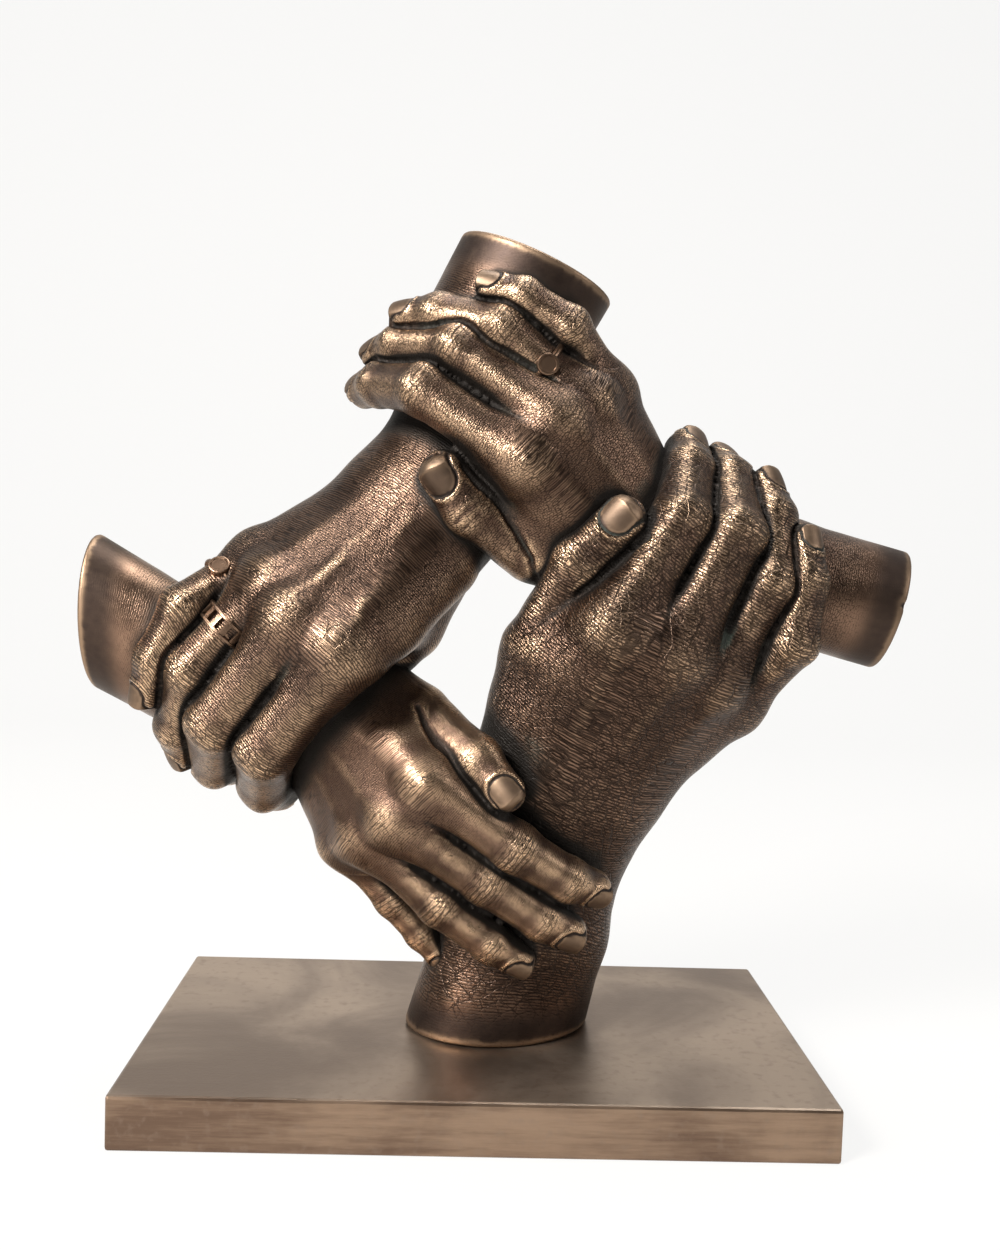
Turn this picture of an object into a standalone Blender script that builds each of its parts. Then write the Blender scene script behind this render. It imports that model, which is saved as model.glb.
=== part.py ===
"""Hand casting sculpture: four right hands, each holding the next wrist, cast as one piece on a flat plinth.

Metres, +Z up, front toward -Y. The origin is the middle of the plinth's underside.
Every hand is the same skeleton with its own sizes and its own bends. Flesh is a blend of tapered
rounds about the bones, and the four are fused into one casting that stands on the forearm of the lowest.
"""
import math

import bmesh
import bpy
import numpy as np
from mathutils import Matrix, Vector

# Plinth
PLINTH_WIDTH = 0.260
PLINTH_DEPTH = 0.147
PLINTH_THICKNESS = 0.020
PLINTH_EDGE = 0.0012

# Seat between the casting and the plinth
SEAT_GAP = 0.0003

# Bones of a hand of size 1, in its own axes: x to the fingertips, y to the thumb side, z out of the back
FINGERS = ("index", "middle", "ring", "little")
KNUCKLE = {"index": (0.088, 0.024, 0.000), "middle": (0.090, 0.003, 0.003),
           "ring": (0.084, -0.016, 0.001), "little": (0.077, -0.033, -0.005)}
CARPAL = {"index": (0.016, 0.013, -0.003), "middle": (0.016, 0.004, -0.001),
          "ring": (0.016, -0.005, -0.001), "little": (0.016, -0.014, -0.004)}
BONES = {"index": (0.044, 0.026, 0.021), "middle": (0.048, 0.030, 0.022),
         "ring": (0.045, 0.028, 0.022), "little": (0.035, 0.021, 0.020)}
THUMB_BONES = (0.046, 0.034, 0.028)

# Half thicknesses of the flesh of a hand of size 1: root, middle joint, end joint, fingertip
GIRTH = {"index": (0.0109, 0.0100, 0.0090, 0.0079), "middle": (0.0112, 0.0103, 0.0092, 0.0081),
         "ring": (0.0106, 0.0097, 0.0087, 0.0076), "little": (0.0092, 0.0083, 0.0076, 0.0067)}
THUMB_WAIST = 0.98
THUMB_GIRTH = (0.0138, 0.0112, 0.0104, 0.0086)
METACARPAL_GIRTH = {"index": (0.0110, 0.0108), "middle": (0.0120, 0.0108),
                    "ring": (0.0118, 0.0102), "little": (0.0108, 0.0096)}

PALM_PADS = (((0.074, 0.018, -0.010), (0.066, -0.028, -0.013), 0.0090, 0.0085),
             ((0.018, -0.016, -0.010), (0.055, -0.031, -0.012), 0.0110, 0.0100),
             ((0.040, 0.026, -0.006), (0.082, 0.028, -0.004), 0.0095, 0.0085))
WEB_POINTS = ((0.048, 0.022, -0.006), (0.068, 0.027, -0.006))
WEB_SHARES = (0.55, 0.95)
WEB_GIRTH = 0.0088

# Webs between neighbouring fingers: share of the root bone, depth below the back, girth
FINGER_WEBS = ((0.05, 0.0012, 0.0092), (0.25, 0.0042, 0.0082))

# Fill of the back of the hand between its bones, as a share of their girth
BACK_FILL = 0.97

# Power of the finger section: two is round, more is squarer
SQUARENESS = 2.5

# Sleeve between the hand and the wrist
CUFF_POINT = (0.022, 0.000, -0.003)
CUFF_TAPER = 0.98

# Softness of the folds
PALM_BLEND = 0.0030
KNUCKLE_BLEND = 0.0060
JOINT_BLEND = 0.0030
FOLD_BLEND = 0.0020
THUMB_BLEND = 0.0015
CUFF_BLEND = 0.0040
WRIST_BLEND = 0.0160

# The four hands: places and pads in metres in the room, lean and bends in degrees, thumb roots in hand axes
STANDING = "standing_arm"
HANDS = {
    "right_arm": {
        "size": 1.00, "breadth": 0.88, "girth": 0.82,
        "wrist": (0.0798, -0.0050, 0.2023), "lean": (134, 20, 23),
        "bends": {"index": (3, -3, 31, 45, 17), "middle": (-7, 11, 30, 40, 19),
                  "ring": (-3, 19, 16, 37, 16), "little": (4, 12, -11, 33, 23)},
        "length": {"index": 1.07, "middle": 0.95, "ring": 0.94, "little": 0.95},
        "fullness": {"index": 1.07, "middle": 1.10, "ring": 1.10, "little": 1.08},
        "thumb": (24, 10, 72, -14, -17, 0.89), "thumb_root": (0.020, 0.022, -0.010), "thumb_fullness": 1.24,
        "pads": (((-0.0072, -0.0300, 0.2504), (0.0196, -0.0260, 0.2127), 0.0075, 0.0090),),
        "arm_start": (0.1180, -0.0030, 0.2060), "arm_end": (0.1620, 0.0000, 0.1950),
        "arm_face": (1.00, -0.10, -0.26),
        "wrist_shift": 0.0000, "wrist_girth": (0.0250, 0.0185), "arm_girth": (0.0245, 0.0245)},
    "top_arm": {
        "size": 1.10, "breadth": 0.96, "girth": 0.92,
        "wrist": (-0.0099, -0.0024, 0.2514), "lean": (226, 22, 30),
        "bends": {"index": (-7, -10, 35, 44, 31), "middle": (-4, -11, 32, 46, 37),
                  "ring": (-11, 7, 18, 39, 21), "little": (-2, 11, -9, 38, 17)},
        "length": {"index": 1.04, "middle": 0.97, "ring": 0.90, "little": 0.95},
        "fullness": {"index": 1.04, "middle": 1.00, "ring": 0.98, "little": 0.96},
        "thumb": (11, 25, 59, -19, 14, 0.92), "thumb_root": (0.020, 0.012, -0.010), "thumb_fullness": 1.00,
        "pads": (),
        "arm_start": (-0.0080, -0.0020, 0.2830), "arm_end": (0.0140, 0.0000, 0.3255),
        "arm_face": (0.40, 0.00, 0.92),
        "wrist_shift": 0.0040, "wrist_girth": (0.0315, 0.0215), "arm_girth": (0.0330, 0.0305)},
    "left_arm": {
        "size": 0.90, "breadth": 0.95, "girth": 0.86,
        "wrist": (-0.0838, -0.0049, 0.1667), "lean": (-48, 23, 22),
        "bends": {"index": (1, 3, 29, 8, 18), "middle": (0, 6, 31, -1, 10),
                  "ring": (-4, 11, 20, 7, 8), "little": (-11, -6, 28, -2, -1)},
        "length": {"index": 1.06, "middle": 0.98, "ring": 0.98, "little": 1.00},
        "fullness": {"index": 1.13, "middle": 1.12, "ring": 1.06, "little": 0.98},
        "thumb": (18, 7, 59, -10, -7, 0.95), "thumb_root": (0.020, 0.022, -0.010), "thumb_fullness": 1.10,
        "pads": (),
        "arm_start": (-0.1050, -0.0030, 0.1570), "arm_end": (-0.1565, 0.0000, 0.1840),
        "arm_face": (-1.00, 0.05, 0.02),
        "wrist_shift": 0.0000, "wrist_girth": (0.0240, 0.0180), "arm_girth": (0.0285, 0.0230)},
    "standing_arm": {
        "size": 1.11, "breadth": 1.06, "girth": 0.95,
        "wrist": (0.0243, -0.0027, 0.0963), "lean": (61, 20, 21),
        "bends": {"index": (-12, -4, 26, 38, 9), "middle": (-6, -2, 24, 47, 17),
                  "ring": (-7, 14, 13, 39, 14), "little": (5, 11, -14, 43, 20)},
        "length": {"index": 0.99, "middle": 0.94, "ring": 0.89, "little": 1.00},
        "fullness": {"index": 1.02, "middle": 1.00, "ring": 1.00, "little": 1.00},
        "thumb": (18, 10, 70, -17, -15, 1.01), "thumb_root": (0.020, 0.022, -0.010), "thumb_fullness": 0.98,
        "pads": (((0.0217, -0.0310, 0.1776), (0.0339, -0.0330, 0.1918), 0.0095, 0.0085),),
        "arm_start": (0.0180, 0.0010, 0.0600), "arm_end": (0.0085, 0.0040, 0.0200),
        "arm_face": (0.00, 0.00, -1.00),
        "wrist_shift": 0.0020, "wrist_girth": (0.0340, 0.0240), "arm_girth": (0.0375, 0.0310)},
}

# Rings cast with the hands: hand, finger, place along the root bone, band half width, band thickness
RINGS = (("right_arm", "ring", 0.52, 0.0011, 0.0012), ("top_arm", "little", 0.50, 0.0011, 0.0012),
         ("top_arm", "ring", 0.52, 0.0036, 0.0014))
RING_SIDES = 28
SIGNET_RADIUS = 0.0041
SIGNET_RISE = 0.0022
SIGNETS = (("right_arm", "ring", 0.52, -42), ("top_arm", "little", 0.50, -14))

# Screws that hold the casting from below, their heads sunk in the plinth
SCREW_SPACING = 0.034
SCREW_CENTRE = (0.0085, 0.0040)
SCREW_RADIUS = 0.0030
SCREW_CLEARANCE = 0.0003
SCREW_LENGTH = 0.0300
HEAD_RADIUS = 0.0050
HEAD_HEIGHT = 0.0060
HEAD_SEAT = 0.0080
HOLE_SPARE = 0.0020
SOCKET_RADIUS = 0.0029
SOCKET_DEPTH = 0.0030
SOCKET_SIDES = 6
ROUND_SIDES = 24

# Mesh of the casting
VOXEL = 0.0022
CASTING_TRIANGLES = 9500
STUB_OVERRUN = 0.012
SHORTEST_ROD = 0.0005
SETTLE_ROUNDS = 2
CUT_MERGE = 0.00001
STUB_REACH = 0.065

# Turn from hand axes to the room for a hand that points right, back toward the front
FACING = np.array([[1.0, 0.0, 0.0], [0.0, 0.0, -1.0], [0.0, 1.0, 0.0]])


def turn(axis, degrees):
    """Rotation matrix about x (0), y (1) or z (2)."""
    c, s = math.cos(math.radians(degrees)), math.sin(math.radians(degrees))
    if axis == 0:
        return np.array([[1, 0, 0], [0, c, -s], [0, s, c]])
    if axis == 1:
        return np.array([[c, 0, s], [0, 1, 0], [-s, 0, c]])
    return np.array([[c, -s, 0], [s, c, 0], [0, 0, 1]])


def bone_chain(frame, root, bends, lengths):
    """Joint points of a finger whose bones turn by the given bends, and the frame of each bone."""
    points, frames = [root], []
    for bend, length in zip(bends, lengths):
        frame = frame @ turn(1, bend)
        points.append(points[-1] + frame @ np.array([length, 0, 0]))
        frames.append(frame)
    return points, frames


def skeleton(hand):
    """Joints and bone frames of one hand in the room."""
    heading, slope, roll = hand["lean"]
    size, breadth = hand["size"], np.array([1, hand["breadth"], 1])
    frame = FACING @ turn(2, heading) @ turn(1, -slope) @ turn(0, roll)
    wrist = np.array(hand["wrist"])

    def place(point):
        return wrist + frame @ (np.array(point) * breadth * size)

    bones = {"frame": frame, "wrist": wrist, "place": place}
    for name in FINGERS:
        spread, twist, *bends = hand["bends"][name]
        start = frame @ turn(2, spread) @ turn(0, twist)
        bones[name] = bone_chain(start, place(KNUCKLE[name]), bends,
                                 np.array(BONES[name]) * size * hand["length"][name])
    out, drop, twist, first, second, length = hand["thumb"]
    start = frame @ turn(2, out) @ turn(1, drop) @ turn(0, twist)
    bones["thumb"] = bone_chain(start, place(hand["thumb_root"]), (0, first, second),
                                np.array(THUMB_BONES) * size * length)
    return bones


def tapered_round(points, start, end, start_radius, end_radius):
    """Distance to a rod with round ends whose radius changes along it."""
    axis = end - start
    along = np.clip((points - start) @ axis / max(axis @ axis, SHORTEST_ROD ** 2), 0, 1)
    radius = start_radius + (end_radius - start_radius) * along
    return np.linalg.norm(points - start - along[:, None] * axis, axis=1) - radius


def oval_rod(points, start, end, start_girth, end_girth, wide):
    """Distance to a rod of oval section: each girth is half the width along wide and half the depth."""
    axis = end - start
    length = np.linalg.norm(axis)
    axis = axis / length
    wide = wide - axis * (wide @ axis)
    wide = wide / np.linalg.norm(wide)
    deep = np.cross(axis, wide)
    local = points - start
    along = np.clip(local @ axis / length, 0, 1)
    girth = np.array(start_girth) + along[:, None] * (np.array(end_girth) - np.array(start_girth))
    past = local @ axis - along * length
    scaled = np.sqrt((local @ wide / girth[:, 0]) ** 2 + (local @ deep / girth[:, 1]) ** 2
                     + (past / girth[:, 1]) ** 2)
    return (scaled - 1) * girth.min(axis=1)


def square_round(points, start, end, start_radius, end_radius, frame):
    """Distance to a rod whose section is a little squarer than a circle, as a finger's is."""
    axis = end - start
    length = np.linalg.norm(axis)
    axis = axis / length
    side = frame[:, 1] - axis * (frame[:, 1] @ axis)
    side = side / np.linalg.norm(side)
    over = np.cross(axis, side)
    local = points - start
    run = local @ axis
    along = np.clip(run / length, 0, 1)
    section = (np.abs(local @ side) ** SQUARENESS + np.abs(local @ over) ** SQUARENESS) ** (1 / SQUARENESS)
    return np.hypot(section, run - along * length) - start_radius - (end_radius - start_radius) * along


def fuse(distances, softness):
    """Union of any number of forms with a fillet of the given softness."""
    stack = np.stack(distances)
    nearest = stack.min(axis=0)
    return nearest - softness * np.log(np.exp((nearest - stack) / softness).sum(axis=0))


def fuse_pair(first, second, softness):
    """Union of two forms with a fillet that ends where they are further apart than its softness."""
    overlap = np.maximum(softness - np.abs(first - second), 0) / softness
    return np.minimum(first, second) - overlap * overlap * softness / 4


def fuse_chain(distances, softness):
    """Union of the forms of one limb, each with the next, so that a joint is hardly fuller than its bones."""
    whole = distances[0]
    for distance in distances[1:]:
        whole = fuse_pair(whole, distance, softness)
    return whole


def finger_rods(chain, radii):
    """The rods of one finger: root to middle joint, middle joint to end joint, end joint to fingertip."""
    joints, frames = chain
    root, middle, end, tip = radii
    pad = joints[3] - frames[2][:, 0] * tip
    return [(joints[0], joints[1], root, middle, frames[0]), (joints[1], joints[2], middle, end, frames[1]),
            (joints[2], pad, end, tip, frames[2])]


def thumb_rods(chain, radii):
    """The rods of the two free bones of the thumb."""
    joints, frames = chain
    knuckle, middle, tip = radii[1:]
    pad = joints[3] - frames[2][:, 0] * tip
    return [(joints[1], joints[2], knuckle, middle, frames[1]),
            (joints[2], pad, middle * THUMB_WAIST, tip, frames[2])]


def palm_rods(hand, bones):
    """The rods of the palm and the back of the hand, with the pads and the web of the thumb."""
    girth = hand["girth"] * hand["size"]
    place = bones["place"]
    thumb_root, thumb_knuckle = bones["thumb"][0][:2]
    webs = [place(point) for point in WEB_POINTS]
    rods = [(place(CARPAL[name]), place(KNUCKLE[name])) + tuple(np.array(METACARPAL_GIRTH[name]) * girth)
            for name in FINGERS]
    rods += [(place(start), place(end), first * girth, second * girth)
             for start, end, first, second in PALM_PADS]
    rods += [(thumb_root, thumb_knuckle, THUMB_GIRTH[0] * girth, THUMB_GIRTH[1] * girth)]
    rods += [(start * (1 - share) + thumb_knuckle * share, web, WEB_GIRTH * girth, WEB_GIRTH * girth)
             for share, start, web in zip(WEB_SHARES, (thumb_root, thumb_root), webs)]
    for first, second in zip(FINGERS, FINGERS[1:]):
        middles = [(place(ends[first]) + place(ends[second])) / 2 for ends in (CARPAL, KNUCKLE)]
        fill = [(METACARPAL_GIRTH[first][end] + METACARPAL_GIRTH[second][end]) / 2 * girth * BACK_FILL
                for end in (0, 1)]
        rods += [(*middles, *fill)]
        for share, drop, web in FINGER_WEBS:
            sunk = bones["frame"][:, 2] * drop * hand["size"]
            near = [bones[name][0][0] * (1 - share) + bones[name][0][1] * share - sunk
                    for name in (first, second)]
            rods += [(*near, web * girth, web * girth)]
    rods += [(np.array(start), np.array(end), first, second) for start, end, first, second in hand["pads"]]
    return rods


def arm_ovals(hand, bones):
    """The oval rods of the wrist and the forearm, the last run on past the cut end of the arm."""
    start, end = np.array(hand["arm_start"]), np.array(hand["arm_end"])
    wrist = bones["wrist"] - bones["frame"][:, 1] * hand["wrist_shift"]
    onward = (end - start) / np.linalg.norm(end - start)
    cuff = tuple(np.array(hand["wrist_girth"]) * CUFF_TAPER)
    middle = tuple((np.array(hand["wrist_girth"]) + np.array(hand["arm_girth"])) / 2)
    return [(bones["place"](CUFF_POINT), wrist, cuff, hand["wrist_girth"]),
            (wrist, start, hand["wrist_girth"], middle),
            (start, end + onward * STUB_OVERRUN, middle, hand["arm_girth"])]


def hand_form(points, hand, bones):
    """Distance to the flesh of one whole hand with its arm."""
    girth = hand["girth"] * hand["size"]
    wide = bones["frame"][:, 1]
    palm = fuse([tapered_round(points, *rod) for rod in palm_rods(hand, bones)], PALM_BLEND)
    arm = fuse_chain([oval_rod(points, *oval, wide) for oval in arm_ovals(hand, bones)], CUFF_BLEND)
    whole = fuse_pair(palm, arm, WRIST_BLEND)
    fingers = None
    for name in FINGERS:
        rods = finger_rods(bones[name], np.array(GIRTH[name]) * girth * hand["fullness"][name])
        finger = fuse_chain([square_round(points, *rod) for rod in rods], JOINT_BLEND)
        fingers = finger if fingers is None else fuse_pair(fingers, finger, FOLD_BLEND)
    whole = fuse_pair(whole, fingers, KNUCKLE_BLEND)
    rods = thumb_rods(bones["thumb"], np.array(THUMB_GIRTH) * girth * hand["thumb_fullness"])
    thumb = fuse_chain([square_round(points, *rod) for rod in rods], JOINT_BLEND)
    return fuse_pair(whole, thumb, THUMB_BLEND)


def add_rod(bm, start, end, start_girth, end_girth, wide=(0, 1.0, 0)):
    """Add a rough rod with round ends to bm: a ball at each end and a tapered drum between them."""
    axis = Vector(end) - Vector(start)
    length = axis.length
    axis = axis.normalized() if length > SHORTEST_ROD else Vector((1, 0, 0))
    side = Vector(wide) - axis * Vector(wide).dot(axis)
    side = side.normalized() if side.length > SHORTEST_ROD else axis.orthogonal().normalized()
    frame = Matrix((side, axis.cross(side), axis)).transposed().to_4x4()
    girths = [(girth, girth) if np.isscalar(girth) else tuple(girth) for girth in (start_girth, end_girth)]
    for centre, (across, deep) in zip((start, end), girths):
        matrix = Matrix.Translation(Vector(centre)) @ frame @ Matrix.Diagonal((across, deep, deep, 1))
        bmesh.ops.create_icosphere(bm, subdivisions=2, radius=1, matrix=matrix)
    if length > SHORTEST_ROD:
        flat = [deep / across for across, deep in girths]
        matrix = (Matrix.Translation((Vector(start) + Vector(end)) / 2) @ frame
                  @ Matrix.Diagonal((1, sum(flat) / 2, 1, 1)))
        bmesh.ops.create_cone(bm, cap_ends=True, segments=20, radius1=girths[0][0], radius2=girths[1][0],
                              depth=length, matrix=matrix)


def add_hand(bm, hand, bones):
    """Add the rough rods of one hand to bm."""
    girth = hand["girth"] * hand["size"]
    rods = palm_rods(hand, bones)
    rods += thumb_rods(bones["thumb"], np.array(THUMB_GIRTH) * girth * hand["thumb_fullness"])
    for name in FINGERS:
        rods += finger_rods(bones[name], np.array(GIRTH[name]) * girth * hand["fullness"][name])
    for rod in rods:
        add_rod(bm, *rod[:4])
    for oval in arm_ovals(hand, bones):
        add_rod(bm, *oval, wide=bones["frame"][:, 1])


def settle(points, form, steps=5, probe=0.0002, reach=0.004):
    """Move points onto the surface where form is nought, along its slope."""
    for _ in range(steps):
        here = form(points)
        slope = np.stack([form(points + np.eye(3)[axis] * probe) - form(points - np.eye(3)[axis] * probe)
                          for axis in range(3)], axis=1) / (2 * probe)
        push = here / np.maximum((slope ** 2).sum(axis=1), 0.2)
        points = points - slope * np.clip(push, -reach, reach)[:, None]
    return points


def in_room(hand_name):
    """One hand of the casting with its bones."""
    return HANDS[hand_name], skeleton(HANDS[hand_name])


def casting_form(points):
    """Distance to the nearest of the four hands."""
    return np.min([hand_form(points, *in_room(name)) for name in HANDS], axis=0)


def new_object(name, bm, material=None):
    """Put a bmesh into the scene as a named object."""
    bmesh.ops.recalc_face_normals(bm, faces=bm.faces)
    mesh = bpy.data.meshes.new(name)
    bm.to_mesh(mesh)
    bm.free()
    piece = bpy.data.objects.new(name, mesh)
    bpy.context.collection.objects.link(piece)
    if material:
        mesh.materials.append(material)
    return piece


def bake(piece):
    """Replace a piece's mesh by the result of its modifiers, and drop them."""
    graph = bpy.context.evaluated_depsgraph_get()
    mesh = bpy.data.meshes.new_from_object(piece.evaluated_get(graph))
    piece.modifiers.clear()
    piece.data = mesh


def remesh(piece, voxel):
    """Fuse all that a piece holds into one even skin."""
    modifier = piece.modifiers.new("skin", "REMESH")
    modifier.mode = "VOXEL"
    modifier.voxel_size = voxel
    bake(piece)


def reshape(piece, form):
    """Settle every point of a piece on the surface of form."""
    count = len(piece.data.vertices)
    flat = np.empty(count * 3)
    piece.data.vertices.foreach_get("co", flat)
    piece.data.vertices.foreach_set("co", settle(flat.reshape(-1, 3), form).ravel())
    piece.data.update()


def keep_largest(bm):
    """Delete every loose shell but the largest, so that no hollow is left sealed inside."""
    bm.verts.ensure_lookup_table()
    seen, shells = set(), []
    for vert in bm.verts:
        if vert in seen:
            continue
        shell, front = {vert}, [vert]
        while front:
            here = front.pop()
            near = [edge.other_vert(here) for edge in here.link_edges]
            fresh = [other for other in near if other not in shell]
            shell.update(fresh)
            front.extend(fresh)
        seen |= shell
        shells.append(shell)
    largest = max(shells, key=len)
    bmesh.ops.delete(bm, geom=[vert for vert in bm.verts if vert not in largest], context="VERTS")


def cut_end(bm, point, outward, reach):
    """Saw off what lies past a plane within reach of a point, and close the face."""
    point, outward = Vector(point), Vector(outward).normalized()
    near = [face for face in bm.faces if (face.calc_center_median() - point).length < reach]
    geometry = list({item for face in near for item in (face, *face.edges, *face.verts)})
    bmesh.ops.bisect_plane(bm, geom=geometry, plane_co=point, plane_no=outward, dist=CUT_MERGE)
    past = [vert for vert in bm.verts
            if (vert.co - point).dot(outward) > CUT_MERGE and (vert.co - point).length < reach]
    bmesh.ops.delete(bm, geom=past, context="VERTS")
    rim = [edge for edge in bm.edges if edge.is_boundary]
    bmesh.ops.holes_fill(bm, edges=rim, sides=0)


def turned(bm, start, end, start_radius, end_radius, sides):
    """Add a closed drum between two points."""
    axis = Vector(end) - Vector(start)
    matrix = (Matrix.Translation((Vector(start) + Vector(end)) / 2)
              @ axis.to_track_quat("Z", "Y").to_matrix().to_4x4())
    return bmesh.ops.create_cone(bm, cap_ends=True, segments=sides, radius1=start_radius, radius2=end_radius,
                                 depth=axis.length, matrix=matrix)


def join_in(piece, other, operation="UNION"):
    """Fuse another object into a piece, or cut it out, and remove the other object."""
    modifier = piece.modifiers.new("join", "BOOLEAN")
    modifier.operation = operation
    modifier.solver = "EXACT"
    modifier.object = other
    bake(piece)
    bpy.data.objects.remove(other)


def make_ring(hand_name, finger, share, half_width, thickness):
    """A finger band, a little proud of the flesh, at a share of the root bone."""
    hand, bones = in_room(hand_name)
    joints, frames = bones[finger]
    scale = hand["girth"] * hand["size"] * hand["fullness"][finger]
    root, middle = GIRTH[finger][0] * scale, GIRTH[finger][1] * scale
    radius = root + (middle - root) * share
    axis = frames[0][:, 0]
    centre = joints[0] + axis * np.linalg.norm(joints[1] - joints[0]) * share
    bm = bmesh.new()
    turned(bm, centre - axis * half_width, centre + axis * half_width,
           radius + thickness, radius + thickness, RING_SIDES)
    return new_object("ring", bm)


def make_signet(hand_name, finger, share, lean):
    """The plain round face on a ring, standing on the back of the finger."""
    hand, bones = in_room(hand_name)
    joints, frames = bones[finger]
    scale = hand["girth"] * hand["size"] * hand["fullness"][finger]
    girth = GIRTH[finger][0] * scale
    outward = frames[0] @ turn(0, lean) @ np.array([0, 0, 1.0])
    centre = joints[0] + frames[0][:, 0] * np.linalg.norm(joints[1] - joints[0]) * share
    bm = bmesh.new()
    turned(bm, centre + outward * (girth - SIGNET_RISE), centre + outward * (girth + SIGNET_RISE),
           SIGNET_RADIUS, SIGNET_RADIUS, ROUND_SIDES)
    return new_object("signet", bm)


def make_casting(material):
    """The four hands as one solid, with their rings, sawn stubs and tapped holes in the foot."""
    bm = bmesh.new()
    for name in HANDS:
        add_hand(bm, *in_room(name))
    casting = new_object("hands_casting", bm)
    for _ in range(SETTLE_ROUNDS):
        remesh(casting, VOXEL)
        reshape(casting, casting_form)
    bm = bmesh.new()
    bm.from_mesh(casting.data)
    keep_largest(bm)
    triangles = sum(len(face.verts) - 2 for face in bm.faces)
    bm.to_mesh(casting.data)
    bm.free()
    thin = casting.modifiers.new("thin", "DECIMATE")
    thin.ratio = min(1, CASTING_TRIANGLES / triangles)
    bake(casting)
    foot = PLINTH_THICKNESS + SEAT_GAP
    bm = bmesh.new()
    bm.from_mesh(casting.data)
    for name, hand in HANDS.items():
        end = Vector(hand["arm_end"])
        if name == STANDING:
            end.z = foot
        cut_end(bm, end, hand["arm_face"], STUB_REACH)
    bmesh.ops.triangulate(bm, faces=bm.faces)
    bm.to_mesh(casting.data)
    bm.free()
    for ring in RINGS:
        join_in(casting, make_ring(*ring))
    for signet in SIGNETS:
        join_in(casting, make_signet(*signet))
    hole = SCREW_RADIUS + SCREW_CLEARANCE
    for x, y in screw_places():
        bm = bmesh.new()
        turned(bm, (x, y, foot - HOLE_SPARE), (x, y, HEAD_SEAT + SCREW_LENGTH + HOLE_SPARE), hole, hole,
               ROUND_SIDES)
        join_in(casting, new_object("tapped_hole", bm), "DIFFERENCE")
    casting.data.materials.clear()
    casting.data.materials.append(material)
    return casting


def screw_places():
    """The two screws' axes, side by side under the standing arm."""
    x, y = SCREW_CENTRE
    return [(x - SCREW_SPACING / 2, y), (x + SCREW_SPACING / 2, y)]


def make_plinth(material):
    """The flat plinth with softened edges, drilled and counterbored from below."""
    bm = bmesh.new()
    size = (PLINTH_WIDTH, PLINTH_DEPTH, PLINTH_THICKNESS, 1)
    matrix = Matrix.Translation((0, 0, PLINTH_THICKNESS / 2)) @ Matrix.Diagonal(size)
    bmesh.ops.create_cube(bm, size=1, matrix=matrix)
    bmesh.ops.bevel(bm, geom=bm.edges[:], offset=PLINTH_EDGE, segments=2, profile=0.5,
                    affect="EDGES", material=-1)
    plinth = new_object("base_plate", bm, material)
    hole = SCREW_RADIUS + SCREW_CLEARANCE
    well = HEAD_RADIUS + SCREW_CLEARANCE
    for x, y in screw_places():
        for top, radius in ((PLINTH_THICKNESS + HOLE_SPARE, hole), (HEAD_SEAT, well)):
            bm = bmesh.new()
            turned(bm, (x, y, -HOLE_SPARE), (x, y, top), radius, radius, ROUND_SIDES)
            join_in(plinth, new_object("drill", bm), "DIFFERENCE")
    return plinth


def make_screw(name, place, material):
    """A socket head screw, standing head down in its well."""
    x, y = place
    seat = HEAD_SEAT - SEAT_GAP
    bm = bmesh.new()
    turned(bm, (x, y, seat - HEAD_HEIGHT), (x, y, seat), HEAD_RADIUS, HEAD_RADIUS, ROUND_SIDES)
    screw = new_object(name, bm, material)
    bm = bmesh.new()
    turned(bm, (x, y, seat - HEAD_HEIGHT / 2), (x, y, seat + SCREW_LENGTH), SCREW_RADIUS, SCREW_RADIUS,
           ROUND_SIDES)
    join_in(screw, new_object("shank", bm))
    bm = bmesh.new()
    turned(bm, (x, y, -HOLE_SPARE), (x, y, seat - HEAD_HEIGHT + SOCKET_DEPTH), SOCKET_RADIUS, SOCKET_RADIUS,
           SOCKET_SIDES)
    join_in(screw, new_object("socket", bm), "DIFFERENCE")
    return screw


def make_material(name, colour, roughness, metallic):
    """A plain metal finish."""
    material = bpy.data.materials.new(name)
    material.use_nodes = True
    shader = material.node_tree.nodes["Principled BSDF"]
    shader.inputs["Base Color"].default_value = (*colour, 1)
    shader.inputs["Roughness"].default_value = roughness
    shader.inputs["Metallic"].default_value = metallic
    return material


for old in list(bpy.data.objects):
    bpy.data.objects.remove(old)

make_casting(make_material("patinated_bronze", (0.105, 0.066, 0.045), 0.42, 0.85))
make_plinth(make_material("plinth_bronze", (0.150, 0.105, 0.075), 0.38, 0.85))
screw_steel = make_material("screw_steel", (0.35, 0.35, 0.36), 0.35, 1.0)
for side, place in zip(("left", "right"), screw_places()):
    make_screw("fixing_screw_" + side, place, screw_steel)
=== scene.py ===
"""Hand casting sculpture: four bronze hands in a ring, each holding the next wrist, on a bronze plinth."""
import math

import bmesh
import bpy
import numpy as np
from mathutils import Matrix, Vector


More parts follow.
